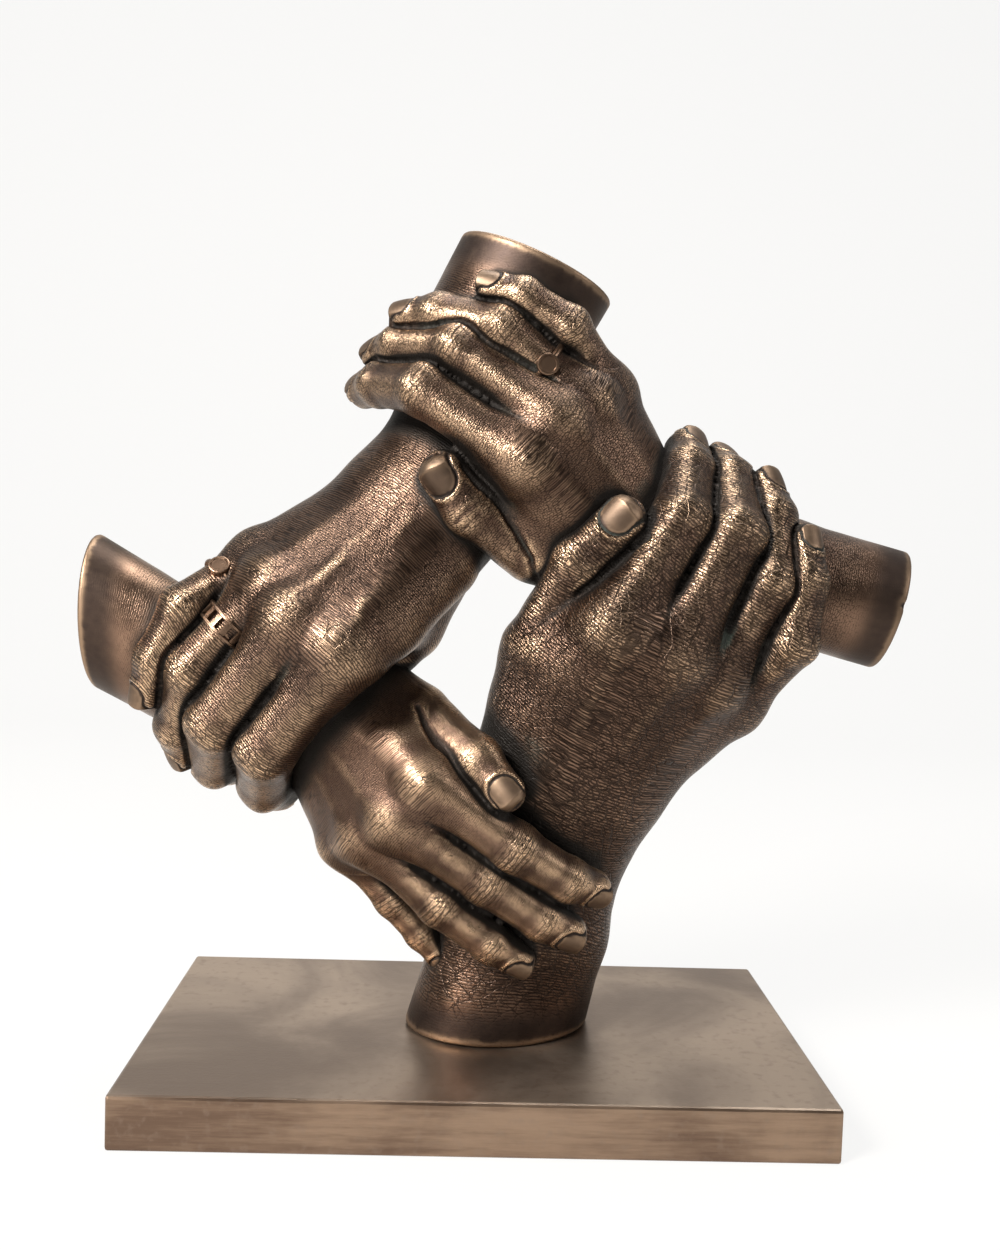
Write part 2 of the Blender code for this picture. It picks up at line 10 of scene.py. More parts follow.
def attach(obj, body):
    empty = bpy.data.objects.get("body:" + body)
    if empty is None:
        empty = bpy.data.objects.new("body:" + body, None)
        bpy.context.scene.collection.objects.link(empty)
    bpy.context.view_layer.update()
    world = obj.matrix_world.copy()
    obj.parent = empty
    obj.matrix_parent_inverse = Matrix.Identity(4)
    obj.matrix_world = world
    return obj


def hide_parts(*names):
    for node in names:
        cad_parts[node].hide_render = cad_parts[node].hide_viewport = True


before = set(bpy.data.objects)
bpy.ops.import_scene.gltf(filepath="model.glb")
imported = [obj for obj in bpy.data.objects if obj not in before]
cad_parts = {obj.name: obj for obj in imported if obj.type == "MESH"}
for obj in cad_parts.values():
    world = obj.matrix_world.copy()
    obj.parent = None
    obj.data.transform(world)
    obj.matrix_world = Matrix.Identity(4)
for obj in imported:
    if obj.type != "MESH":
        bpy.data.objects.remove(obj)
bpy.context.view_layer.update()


# Studio
# The sculpture stands on a pale paper sweep that runs up behind it. A large soft lamp hangs to the upper
# left of the camera, a weaker one to the right, and the room is darker on the camera's side than behind.
FLOOR_FRONT, FLOOR_BACK, FLOOR_HALF_WIDTH = -1.60, 0.90, 2.60
SWEEP_RADIUS, SWEEP_STEPS, WALL_HEIGHT = 0.60, 14, 2.00
PAPER = (0.62, 0.60, 0.57, 1)
PAPER_GLOW_SEEN, PAPER_GLOW_MIRRORED = 0.86, 0.25
LAMPS = (("key_lamp", (-0.85, -0.75, 1.00), 0.42, 40.0, (1.00, 0.965, 0.92)),
         ("fill_lamp", (1.10, -0.35, 0.75), 0.45, 4.0, (1.00, 0.97, 0.94)),
         ("low_lamp", (-0.75, -0.80, 0.22), 0.40, 2.5, (1.00, 0.94, 0.88)),
         ("top_lamp", (0.10, 0.15, 1.30), 0.60, 11.0, (1.00, 0.98, 0.95)))
LAMP_TARGET = Vector((0, 0, 0.17))
ROOM_FRONT, ROOM_BACK, ROOM_DIFFUSE = 0.05, 1.00, 0.24
CAMERA_PLACE = Vector((-0.0114, -0.4896, 0.2135))
CAMERA_YAW, CAMERA_PITCH, CAMERA_ROLL = 0.0319, 0.0605, 0.0344
CAMERA_LENS, CAMERA_SENSOR = 35.067, 36.0


def node(tree, kind, links=None, **settings):
    """Add a node with its settings; each link is a socket to join or a plain value to set."""
    made = tree.nodes.new(kind)
    for name, value in settings.items():
        setattr(made, name, value)
    for socket, source in (links or {}).items():
        if isinstance(source, bpy.types.NodeSocket):
            tree.links.new(source, made.inputs[socket])
        else:
            made.inputs[socket].default_value = source
    return made


def math_node(tree, operation, first, second=0.0, third=0.0, clamp=False):
    """The result socket of one sum."""
    return node(tree, "ShaderNodeMath", {0: first, 1: second, 2: third}, operation=operation,
                use_clamp=clamp).outputs[0]


def mix_colour(tree, share, first, second):
    """The result socket of a mix of two colours."""
    return node(tree, "ShaderNodeMix", {0: share, 6: first, 7: second}, data_type="RGBA").outputs[2]


def ramp(tree, value, low, high, to_low=0.0, to_high=1.0):
    """The result socket of a soft step from low to high."""
    return node(tree, "ShaderNodeMapRange", {0: value, 1: low, 2: high, 3: to_low, 4: to_high},
                interpolation_type="SMOOTHSTEP").outputs[0]


def new_material(name):
    """An empty material with its Principled shader."""
    material = bpy.data.materials.new(name)
    material.use_nodes = True
    return material, material.node_tree, material.node_tree.nodes["Principled BSDF"]


def new_piece(name, bm, material=None):
    """Put a bmesh into the scene as a named piece."""
    mesh = bpy.data.meshes.new(name)
    bm.to_mesh(mesh)
    bm.free()
    piece = bpy.data.objects.new(name, mesh)
    bpy.context.scene.collection.objects.link(piece)
    if material:
        mesh.materials.append(material)
    for face in mesh.polygons:
        face.use_smooth = True
    return piece


paper, tree, shader = new_material("pale_paper")
shader.inputs["Base Color"].default_value = PAPER
shader.inputs["Roughness"].default_value = 0.9
rays = node(tree, "ShaderNodeLightPath")
glow = node(tree, "ShaderNodeEmission", {"Color": (1.0, 1.0, 0.995, 1), "Strength": 1.0})
blend_share = math_node(tree, "MULTIPLY_ADD", rays.outputs["Is Camera Ray"], PAPER_GLOW_SEEN,
                        math_node(tree, "MULTIPLY", rays.outputs["Is Glossy Ray"], PAPER_GLOW_MIRRORED))
mixed = node(tree, "ShaderNodeMixShader", {0: blend_share, 1: shader.outputs[0], 2: glow.outputs[0]})
tree.links.new(mixed.outputs[0], tree.nodes["Material Output"].inputs["Surface"])

bm = bmesh.new()
edge = [bm.verts.new((side * FLOOR_HALF_WIDTH, FLOOR_FRONT, 0)) for side in (-1, 1)]
line = [bm.edges.new(edge)]
path = [(FLOOR_BACK, 0.0)]
for step in range(1, SWEEP_STEPS + 1):
    angle = math.pi / 2 * step / SWEEP_STEPS
    path.append((FLOOR_BACK + SWEEP_RADIUS * math.sin(angle), SWEEP_RADIUS * (1 - math.cos(angle))))
path += [(FLOOR_BACK + SWEEP_RADIUS, WALL_HEIGHT)]
for y, z in path:
    grown = bmesh.ops.extrude_edge_only(bm, edges=line)["geom"]
    for vert in (item for item in grown if isinstance(item, bmesh.types.BMVert)):
        vert.co.y, vert.co.z = y, z
    line = [item for item in grown if isinstance(item, bmesh.types.BMEdge)
            and all(abs(vert.co.y - y) + abs(vert.co.z - z) < 1e-6 for vert in item.verts)]
bmesh.ops.recalc_face_normals(bm, faces=bm.faces)
sweep = new_piece("paper_sweep", bm, paper)

for name, place, size, power, colour in LAMPS:
    lamp = bpy.data.lights.new(name, "AREA")
    lamp.shape, lamp.size, lamp.energy, lamp.color = "SQUARE", size, power, colour
    holder = bpy.data.objects.new(name, lamp)
    holder.location = place
    holder.rotation_euler = (LAMP_TARGET - Vector(place)).to_track_quat("-Z", "Y").to_euler()
    bpy.context.scene.collection.objects.link(holder)

world = bpy.data.worlds.new("room")
bpy.context.scene.world = world
world.use_nodes = True
tree = world.node_tree
tree.nodes.clear()
direction = node(tree, "ShaderNodeSeparateXYZ", {0: node(tree, "ShaderNodeTexCoord").outputs["Generated"]})
behind = ramp(tree, direction.outputs["Y"], 0.05, 0.90, ROOM_FRONT, ROOM_BACK)
rays = node(tree, "ShaderNodeLightPath")
shown = node(tree, "ShaderNodeMix", {0: rays.outputs["Is Glossy Ray"], 2: ROOM_DIFFUSE, 3: behind}).outputs[0]
strength = node(tree, "ShaderNodeMix", {0: rays.outputs["Is Camera Ray"], 2: shown, 3: 1.0}).outputs[0]
room = node(tree, "ShaderNodeBackground", {"Color": (1.0, 0.998, 0.985, 1), "Strength": strength})
node(tree, "ShaderNodeOutputWorld", {0: room.outputs[0]})

lens = bpy.data.cameras.new("camera")
lens.lens, lens.sensor_width = CAMERA_LENS, CAMERA_SENSOR
camera = bpy.data.objects.new("camera", lens)
ahead = Vector((math.sin(CAMERA_YAW) * math.cos(CAMERA_PITCH), math.cos(CAMERA_YAW) * math.cos(CAMERA_PITCH),
                -math.sin(CAMERA_PITCH)))
level = Vector((math.cos(CAMERA_YAW), -math.sin(CAMERA_YAW), 0))
upright = level.cross(ahead)
across = level * math.cos(CAMERA_ROLL) + upright * math.sin(CAMERA_ROLL)
above = upright * math.cos(CAMERA_ROLL) - level * math.sin(CAMERA_ROLL)
camera.matrix_world = (Matrix.Translation(CAMERA_PLACE)
                       @ Matrix((across, above, -ahead)).transposed().to_4x4())
bpy.context.scene.collection.objects.link(camera)
bpy.context.scene.camera = camera
bpy.context.scene.view_settings.view_transform = "Standard"


# Plinth
# A flat plate of the same bronze, sawn, its edges filed round and its brown patina rubbed in with a cloth,
# which leaves it cloudy on top and faintly drawn out along its sides.
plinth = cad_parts["base_plate"]
finish, tree, shader = new_material("plinth_patina")
place = node(tree, "ShaderNodeTexCoord").outputs["Object"]
cloud = node(tree, "ShaderNodeTexNoise", {"Vector": place, "Scale": 14.0, "Detail": 5.0, "Roughness": 0.55,
                                          "Distortion": 0.6}).outputs[0]
speckle = node(tree, "ShaderNodeTexNoise", {"Vector": place, "Scale": 260.0, "Detail": 4.0}).outputs[0]
drawn = node(tree, "ShaderNodeMapping", {"Vector": place, "Scale": (1.0, 6.0, 12.0)}).outputs[0]
streak = node(tree, "ShaderNodeTexNoise",
              {"Vector": drawn, "Scale": 26.0, "Detail": 6.0, "Roughness": 0.65}).outputs[0]
facing = node(tree, "ShaderNodeSeparateXYZ", {0: node(tree, "ShaderNodeNewGeometry").outputs["Normal"]})
on_side = ramp(tree, math_node(tree, "ABSOLUTE", facing.outputs["Z"]), 0.75, 0.35)
streak_share = math_node(tree, "MULTIPLY", on_side, 0.45)
wiped = node(tree, "ShaderNodeMix", {0: streak_share, 2: cloud, 3: streak}).outputs[0]
top_tone = mix_colour(tree, ramp(tree, wiped, 0.36, 0.66), (0.215, 0.163, 0.128, 1), (0.430, 0.345, 0.275, 1))
# The sides take a darker copy of the top's colours: painted shade.
shaded_side_tone = mix_colour(tree, ramp(tree, wiped, 0.36, 0.64), (0.140, 0.092, 0.066, 1),
                       (0.300, 0.212, 0.150, 1))
tone = mix_colour(tree, on_side, top_tone, shaded_side_tone)
tone = mix_colour(tree, ramp(tree, speckle, 0.50, 0.80, 0.0, 0.5), tone, (0.240, 0.180, 0.140, 1))
pebble = node(tree, "ShaderNodeTexNoise", {"Vector": place, "Scale": 700.0, "Detail": 2.0}).outputs[0]
height = math_node(tree, "MULTIPLY", pebble, 0.05)
height = math_node(tree, "MULTIPLY_ADD", streak, 0.08, height)
tree.links.new(tone, shader.inputs["Base Color"])
tree.links.new(ramp(tree, wiped, 0.30, 0.75, 0.30, 0.44), shader.inputs["Roughness"])
shader.inputs["Metallic"].default_value = 0.92
bump = node(tree, "ShaderNodeBump", {"Height": height, "Distance": 0.001, "Strength": 1.0})
tree.links.new(bump.outputs[0], shader.inputs["Normal"])
plinth.data.materials.clear()
plinth.data.materials.append(finish)


# Fixing screws
# Two plain steel socket screws, sunk in the underside of the plinth, hold the casting from below.
finish, tree, shader = new_material("screw_finish")
place = node(tree, "ShaderNodeTexCoord").outputs["Object"]
turned_marks = node(tree, "ShaderNodeTexNoise", {"Vector": place, "Scale": 700.0, "Detail": 3.0}).outputs[0]
tree.links.new(mix_colour(tree, turned_marks, (0.30, 0.30, 0.31, 1), (0.42, 0.42, 0.43, 1)),
               shader.inputs["Base Color"])
tree.links.new(ramp(tree, turned_marks, 0.3, 0.7, 0.30, 0.42), shader.inputs["Roughness"])
shader.inputs["Metallic"].default_value = 1.0
for name in ("fixing_screw_left", "fixing_screw_right"):
    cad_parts[name].data.materials.clear()
    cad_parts[name].data.materials.append(finish)


# The four hands
# One bronze casting taken from life: four right hands with their forearms, sawn flat at the ends. Each hand
# is a skeleton with its own sizes and bends, fleshed out with rounded rods that melt into one skin, and the
# skin then gets its knuckle folds, tendons, veins and nails.
FINGERS = ("index", "middle", "ring", "little")
KNUCKLE = {"index": (0.088, 0.024, 0.000), "middle": (0.090, 0.003, 0.003),
           "ring": (0.084, -0.016, 0.001), "little": (0.077, -0.033, -0.005)}
CARPAL = {"index": (0.016, 0.013, -0.003), "middle": (0.016, 0.004, -0.001),
          "ring": (0.016, -0.005, -0.001), "little": (0.016, -0.014, -0.004)}
BONES = {"index": (0.044, 0.026, 0.021), "middle": (0.048, 0.030, 0.022),
         "ring": (0.045, 0.028, 0.022), "little": (0.035, 0.021, 0.020)}
THUMB_BONES = (0.046, 0.034, 0.028)
GIRTH = {"index": (0.0109, 0.0100, 0.0090, 0.0079), "middle": (0.0112, 0.0103, 0.0092, 0.0081),
         "ring": (0.0106, 0.0097, 0.0087, 0.0076), "little": (0.0092, 0.0083, 0.0076, 0.0067)}
THUMB_GIRTH = (0.0138, 0.0112, 0.0104, 0.0086)
METACARPAL_GIRTH = {"index": (0.0110, 0.0108), "middle": (0.0120, 0.0108),
                    "ring": (0.0118, 0.0102), "little": (0.0108, 0.0096)}
PALM_PADS = (((0.074, 0.018, -0.010), (0.066, -0.028, -0.013), 0.0090, 0.0085),
             ((0.018, -0.016, -0.010), (0.055, -0.031, -0.012), 0.0110, 0.0100),
             ((0.040, 0.026, -0.006), (0.082, 0.028, -0.004), 0.0095, 0.0085))
WEB_POINTS = ((0.048, 0.022, -0.006), (0.068, 0.027, -0.006))
WEB_SHARES = (0.55, 0.95)
WEB_GIRTH = 0.0088
FINGER_WEBS = ((0.05, 0.0012, 0.0092), (0.25, 0.0042, 0.0082))
BACK_FILL = 0.97
SQUARENESS = 2.5
CUFF_POINT = (0.022, 0.000, -0.003)
CUFF_TAPER = 0.98
PALM_BLEND = 0.0030
KNUCKLE_BLEND = 0.0060
JOINT_BLEND = 0.0030
FOLD_BLEND = 0.0010
THUMB_BLEND = 0.0015
CUFF_BLEND = 0.0040
WRIST_BLEND = 0.0160
FOOT = 0.0203
STUB_ROUND = 0.0016
STUB_OVERRUN = 0.012
STUB_REACH = 0.065
SHORTEST_ROD = 0.0005
HANDS = {
    "right_arm": {
        "size": 1.00, "breadth": 0.88, "girth": 0.82,
        "wrist": (0.0798, -0.0050, 0.2023), "lean": (134, 20, 23),
        "bends": {"index": (3, -3, 31, 45, 17), "middle": (-7, 11, 30, 40, 19),
                  "ring": (-3, 19, 16, 37, 16), "little": (4, 12, -11, 33, 23)},
        "length": {"index": 1.07, "middle": 0.95, "ring": 0.94, "little": 0.95},
        "fullness": {"index": 1.07, "middle": 1.10, "ring": 1.10, "little": 1.08},
        "thumb": (24, 10, 72, -14, -17, 0.89), "thumb_root": (0.020, 0.022, -0.010),
        "thumb_fullness": 1.24,
        "nail_facing": (-0.50, -0.85, 0.10),
        "pads": (((-0.0072, -0.0300, 0.2504), (0.0196, -0.0260, 0.2127), 0.0075, 0.0090),),
        "arm_start": (0.1180, -0.0030, 0.2060), "arm_end": (0.1620, 0.0000, 0.1950),
        "arm_face": (1.00, -0.10, -0.26),
        "wrist_shift": 0.0000, "wrist_girth": (0.0250, 0.0185), "arm_girth": (0.0245, 0.0245),
        "tendons": (0.4, 0.5, 0.4, 0.2), "creases": 0.9,
        "strokes": ((((-0.0215, -0.0428, 0.2484), (-0.0115, -0.0429, 0.2426), (-0.0062, -0.0418, 0.2367),
                      (0.0015, -0.0391, 0.2301), (0.0082, -0.0373, 0.2204), (0.0138, -0.0354, 0.2110),
                      (0.0162, -0.0310, 0.2035)), -0.0013, 0.0010),
                    (((-0.0175, -0.0400, 0.2205), (-0.0138, -0.0425, 0.2244), (-0.0096, -0.0437, 0.2288),
                      (-0.0028, -0.0409, 0.2339)), -0.0005, 0.0006),
                    (((-0.0150, -0.0395, 0.2185), (-0.0112, -0.0417, 0.2219), (-0.0059, -0.0428, 0.2275)),
                     -0.0004, 0.0005)),
        "leather": 0.85, "lines": 0.40, "cross": 0.30, "cell": 1.1, "voxel": 0.00135},
    "top_arm": {
        "size": 1.10, "breadth": 0.96, "girth": 0.92,
        "wrist": (-0.0099, -0.0024, 0.2514), "lean": (226, 22, 30),
        "bends": {"index": (-7, -10, 35, 44, 31), "middle": (-4, -11, 32, 46, 37),
                  "ring": (-11, 7, 18, 39, 21), "little": (-2, 11, -9, 38, 17)},
        "length": {"index": 1.04, "middle": 0.97, "ring": 0.90, "little": 0.95},
        "fullness": {"index": 1.04, "middle": 1.00, "ring": 0.98, "little": 0.96},
        "thumb": (11, 25, 59, -19, 14, 0.92), "thumb_root": (0.020, 0.012, -0.010), "thumb_fullness": 1.00,
        "nail_facing": (-1.00, -0.20, 0.30), "pads": (),
        "arm_start": (-0.0080, -0.0020, 0.2830), "arm_end": (0.0140, 0.0000, 0.3255),
        "arm_face": (0.40, 0.00, 0.92),
        "wrist_shift": 0.0040, "wrist_girth": (0.0315, 0.0215), "arm_girth": (0.0330, 0.0305),
        "tendons": (0.3, 0.4, 0.4, 0.3),
        "strokes": ((((-0.0689, -0.0527, 0.1951), (-0.0602, -0.0464, 0.2042), (-0.0512, -0.0408, 0.2136)),
                     0.0009, 0.0026),
                    (((-0.0409, -0.0419, 0.2121), (-0.0344, -0.0373, 0.2208), (-0.0274, -0.0354, 0.2300)),
                     0.0008, 0.0022),
                    (((-0.0486, -0.0604, 0.1819), (-0.0468, -0.0528, 0.1937), (-0.0409, -0.0510, 0.1960)),
                     0.0006, 0.0018)),
        "creases": 0.9, "leather": 0.5, "lines": 1.0, "cross": 0.35, "cell": 1.2, "voxel": 0.00147},
    "left_arm": {
        "size": 0.90, "breadth": 0.95, "girth": 0.86,
        "wrist": (-0.0838, -0.0049, 0.1667), "lean": (-48, 23, 22),
        "bends": {"index": (1, 3, 29, 8, 18), "middle": (0, 6, 31, -1, 10),
                  "ring": (-4, 11, 20, 7, 8), "little": (-11, -6, 28, -2, -1)},
        "length": {"index": 1.06, "middle": 0.98, "ring": 0.98, "little": 1.00},
        "fullness": {"index": 1.13, "middle": 1.12, "ring": 1.06, "little": 0.98},
        "thumb": (18, 7, 59, -10, -7, 0.95), "thumb_root": (0.020, 0.022, -0.010),
        "thumb_fullness": 1.10,
        "nail_facing": (0.05, -1.00, 0.10), "pads": (),
        "arm_start": (-0.1050, -0.0030, 0.1570), "arm_end": (-0.1565, 0.0000, 0.1840),
        "arm_face": (-1.00, 0.05, 0.02),
        "wrist_shift": 0.0000, "wrist_girth": (0.0240, 0.0180), "arm_girth": (0.0285, 0.0230),
        "tendons": (0.3, 0.4, 0.3, 0.2),
        "strokes": ((((-0.0266, -0.0355, 0.1546), (-0.0241, -0.0380, 0.1490), (-0.0185, -0.0423, 0.1401),
                      (-0.0112, -0.0452, 0.1311), (-0.0032, -0.0450, 0.1235), (0.0051, -0.0471, 0.1178)),
                     -0.0012, 0.0011),),
        "creases": 0.8, "leather": 0.50, "lines": 0.55, "cross": 0.15, "cell": 0.9, "voxel": 0.00132},
    "standing_arm": {
        "size": 1.11, "breadth": 1.06, "girth": 0.95,
        "wrist": (0.0243, -0.0027, 0.0963), "lean": (61, 20, 21),
        "bends": {"index": (-12, -4, 26, 38, 9), "middle": (-6, -2, 24, 47, 17),
                  "ring": (-7, 14, 13, 39, 14), "little": (5, 11, -14, 43, 20)},
        "length": {"index": 0.99, "middle": 0.94, "ring": 0.89, "little": 1.00},
        "fullness": {"index": 1.02, "middle": 1.00, "ring": 1.00, "little": 1.00},
        "thumb": (18, 10, 70, -17, -15, 1.01), "thumb_root": (0.020, 0.022, -0.010),
        "thumb_fullness": 0.98,
        "nail_facing": (-0.20, -0.95, 0.30),
        "pads": (((0.0217, -0.0310, 0.1776), (0.0339, -0.0330, 0.1918), 0.0095, 0.0085),),
        "arm_start": (0.0180, 0.0010, 0.0600), "arm_end": (0.0085, 0.0040, FOOT),
        "arm_face": (0.00, 0.00, -1.00),
        "wrist_shift": 0.0020, "wrist_girth": (0.0340, 0.0240), "arm_girth": (0.0375, 0.0310),
        "tendons": (0.6, 0.5, 0.4, 0.3),
        "strokes": ((((0.0309, -0.0419, 0.1980), (0.0389, -0.0440, 0.2061), (0.0478, -0.0434, 0.2144),
                      (0.0554, -0.0475, 0.2205)), -0.0012, 0.0012),
                    (((-0.0107, -0.0211, 0.0511), (-0.0126, -0.0217, 0.0372), (-0.0144, -0.0225, 0.0215)),
                     0.0013, 0.0046)),
        "creases": 1.0, "leather": 0.80, "lines": 1.35, "cross": 1.50, "cell": 1.45, "voxel": 0.00158},
}

FACING = np.array([[1.0, 0.0, 0.0], [0.0, 0.0, -1.0], [0.0, 1.0, 0.0]])


def turn(axis, degrees):
    """Rotation matrix about x (0), y (1) or z (2)."""
    c, s = math.cos(math.radians(degrees)), math.sin(math.radians(degrees))
    if axis == 0:
        return np.array([[1, 0, 0], [0, c, -s], [0, s, c]])
    if axis == 1:
        return np.array([[c, 0, s], [0, 1, 0], [-s, 0, c]])
    return np.array([[c, -s, 0], [s, c, 0], [0, 0, 1]])


def bone_chain(start, root, bends, lengths):
    """Joint points of a finger whose bones turn by the given bends, the frame of each bone, and the bends."""
    points, frames, here = [root], [], start
    for bend, length in zip(bends, lengths):
        here = here @ turn(1, bend)
        points.append(points[-1] + here @ np.array([length, 0, 0]))
        frames.append(here)
    return points, frames, np.radians(bends)


def skeleton(hand):
    """Joints and bone frames of one hand in the room."""
    heading, slope, roll = hand["lean"]
    size, breadth = hand["size"], np.array([1, hand["breadth"], 1])
    base = FACING @ turn(2, heading) @ turn(1, -slope) @ turn(0, roll)
    wrist = np.array(hand["wrist"])

    def place(point):
        return wrist + base @ (np.array(point) * breadth * size)

    bones = {"frame": base, "wrist": wrist, "place": place}
    for name in FINGERS:
        spread, twist, *bends = hand["bends"][name]
        start = base @ turn(2, spread) @ turn(0, twist)
        bones[name] = bone_chain(start, place(KNUCKLE[name]), bends,
                                 np.array(BONES[name]) * size * hand["length"][name])
    out, drop, twist, first, second, length = hand["thumb"]
    start = base @ turn(2, out) @ turn(1, drop) @ turn(0, twist)
    bones["thumb"] = bone_chain(start, place(hand["thumb_root"]), (0, first, second),
                                np.array(THUMB_BONES) * size * length)
    return bones


def tapered_round(points, start, end, start_radius, end_radius):
    """Distance to a rod with round ends whose radius changes along it."""
    axis = end - start
    along = np.clip((points - start) @ axis / max(axis @ axis, SHORTEST_ROD ** 2), 0, 1)
    radius = start_radius + (end_radius - start_radius) * along
    return np.linalg.norm(points - start - along[:, None] * axis, axis=1) - radius


def square_round(points, start, end, start_radius, end_radius, turned):
    """Distance to a rod whose section is a little squarer than a circle, as a finger's is."""
    axis = end - start
    length = np.linalg.norm(axis)
    axis = axis / length
    side = turned[:, 1] - axis * (turned[:, 1] @ axis)
    side = side / np.linalg.norm(side)
    over = np.cross(axis, side)
    local = points - start
    run = local @ axis
    along = np.clip(run / length, 0, 1)
    section = (np.abs(local @ side) ** SQUARENESS + np.abs(local @ over) ** SQUARENESS) ** (1 / SQUARENESS)
    return np.hypot(section, run - along * length) - start_radius - (end_radius - start_radius) * along


def oval_rod(points, start, end, start_girth, end_girth, wide):
    """Distance to a rod of oval section: each girth is half the width along wide and half the depth."""
    axis = end - start
    length = np.linalg.norm(axis)
    axis = axis / length
    wide = wide - axis * (wide @ axis)
    wide = wide / np.linalg.norm(wide)
    deep = np.cross(axis, wide)
    local = points - start
    along = np.clip(local @ axis / length, 0, 1)
    girth = np.array(start_girth) + along[:, None] * (np.array(end_girth) - np.array(start_girth))
    past = local @ axis - along * length
    scaled = np.sqrt((local @ wide / girth[:, 0]) ** 2 + (local @ deep / girth[:, 1]) ** 2
                     + (past / girth[:, 1]) ** 2)
    return (scaled - 1) * girth.min(axis=1)


def fuse(distances, softness):
    """Union of any number of forms with a fillet of the given softness."""
    stack = np.stack(distances)
    nearest = stack.min(axis=0)
    return nearest - softness * np.log(np.exp((nearest - stack) / softness).sum(axis=0))


def fuse_pair(first, second, softness):
    """Union of two forms with a fillet that ends where they are further apart than its softness."""
    overlap = np.maximum(softness - np.abs(first - second), 0) / softness
    return np.minimum(first, second) - overlap * overlap * softness / 4


def fuse_chain(distances, softness):
    """Union of the forms of one limb, each with the next."""
    whole = distances[0]
    for distance in distances[1:]:
        whole = fuse_pair(whole, distance, softness)
    return whole


def finger_rods(chain, radii):
    """The rods of one finger: root to middle joint, middle joint to end joint, end joint to fingertip."""
    joints, frames, _ = chain
    root, middle, end, tip = radii
    pad = joints[3] - frames[2][:, 0] * tip
    return [(joints[0], joints[1], root, middle, frames[0]), (joints[1], joints[2], middle, end, frames[1]),
            (joints[2], pad, end, tip, frames[2])]


def thumb_rods(chain, radii):
    """The rods of the two free bones of the thumb."""
    joints, frames, _ = chain
    knuckle, middle, tip = radii[1:]
    pad = joints[3] - frames[2][:, 0] * tip
    return [(joints[1], joints[2], knuckle, middle, frames[1]),
            (joints[2], pad, middle * 0.98, tip, frames[2])]


def palm_rods(hand, bones):
    """The rods of the palm and the back of the hand, with the pads and the web of the thumb."""
    girth = hand["girth"] * hand["size"]
    place = bones["place"]
    thumb_root, thumb_knuckle = bones["thumb"][0][:2]
    webs = [place(point) for point in WEB_POINTS]
    rods = [(place(CARPAL[name]), place(KNUCKLE[name])) + tuple(np.array(METACARPAL_GIRTH[name]) * girth)
            for name in FINGERS]
    rods += [(place(start), place(end), first * girth, second * girth)
             for start, end, first, second in PALM_PADS]
    rods += [(thumb_root, thumb_knuckle, THUMB_GIRTH[0] * girth, THUMB_GIRTH[1] * girth)]
    rods += [(start * (1 - share) + thumb_knuckle * share, web, WEB_GIRTH * girth, WEB_GIRTH * girth)
             for share, start, web in zip(WEB_SHARES, (thumb_root, thumb_root), webs)]
    for first, second in zip(FINGERS, FINGERS[1:]):
        middles = [(place(ends[first]) + place(ends[second])) / 2 for ends in (CARPAL, KNUCKLE)]
        fill = [(METACARPAL_GIRTH[first][end] + METACARPAL_GIRTH[second][end]) / 2 * girth * BACK_FILL
                for end in (0, 1)]
        rods += [(*middles, *fill)]
        for share, drop, web in FINGER_WEBS:
            sunk = bones["frame"][:, 2] * drop * hand["size"]
            near = [bones[name][0][0] * (1 - share) + bones[name][0][1] * share - sunk
                    for name in (first, second)]
            rods += [(*near, web * girth, web * girth)]
    rods += [(np.array(start), np.array(end), first, second) for start, end, first, second in hand["pads"]]
    return rods


def arm_ovals(hand, bones):
    """The oval rods of the wrist and the forearm, the last run on past the cut end of the arm."""
    start, end = np.array(hand["arm_start"]), np.array(hand["arm_end"])
    wrist = bones["wrist"] - bones["frame"][:, 1] * hand["wrist_shift"]
    onward = (end - start) / np.linalg.norm(end - start)
    cuff = tuple(np.array(hand["wrist_girth"]) * CUFF_TAPER)
    middle = tuple((np.array(hand["wrist_girth"]) + np.array(hand["arm_girth"])) / 2)
    return [(bones["place"](CUFF_POINT), wrist, cuff, hand["wrist_girth"]),
            (wrist, start, hand["wrist_girth"], middle),
            (start, end + onward * STUB_OVERRUN, middle, hand["arm_girth"])]


def hand_parts(points, hand, bones):
    """Distances to the palm, the arm, each finger and the thumb of one hand."""
    girth = hand["girth"] * hand["size"]
    wide = bones["frame"][:, 1]
    parts = {"palm": fuse([tapered_round(points, *rod) for rod in palm_rods(hand, bones)], PALM_BLEND),
             "arm": fuse_chain([oval_rod(points, *oval, wide) for oval in arm_ovals(hand, bones)],
                               CUFF_BLEND)}
    for name in FINGERS:
        rods = finger_rods(bones[name], np.array(GIRTH[name]) * girth * hand["fullness"][name])
        parts[name] = fuse_chain([square_round(points, *rod) for rod in rods], JOINT_BLEND)
    rods = thumb_rods(bones["thumb"], np.array(THUMB_GIRTH) * girth * hand["thumb_fullness"])
    parts["thumb"] = fuse_chain([square_round(points, *rod) for rod in rods], JOINT_BLEND)
    return parts


def hand_form(points, hand, bones):
    """Distance to the flesh of one whole hand with its arm, cut off flat at the end of the arm."""
    parts = hand_parts(points, hand, bones)
    whole = fuse_pair(parts["palm"], parts["arm"], WRIST_BLEND)
    fingers = fuse_chain([parts[name] for name in FINGERS], FOLD_BLEND)
    whole = fuse_pair(fuse_pair(whole, fingers, KNUCKLE_BLEND), parts["thumb"], THUMB_BLEND)
    outward = np.array(hand["arm_face"]) / np.linalg.norm(hand["arm_face"])
    past = (points - np.array(hand["arm_end"])) @ outward
    near = np.linalg.norm(points - np.array(hand["arm_end"]), axis=1) < STUB_REACH
    return np.where(near, -fuse_pair(-whole, -past, STUB_ROUND), whole)


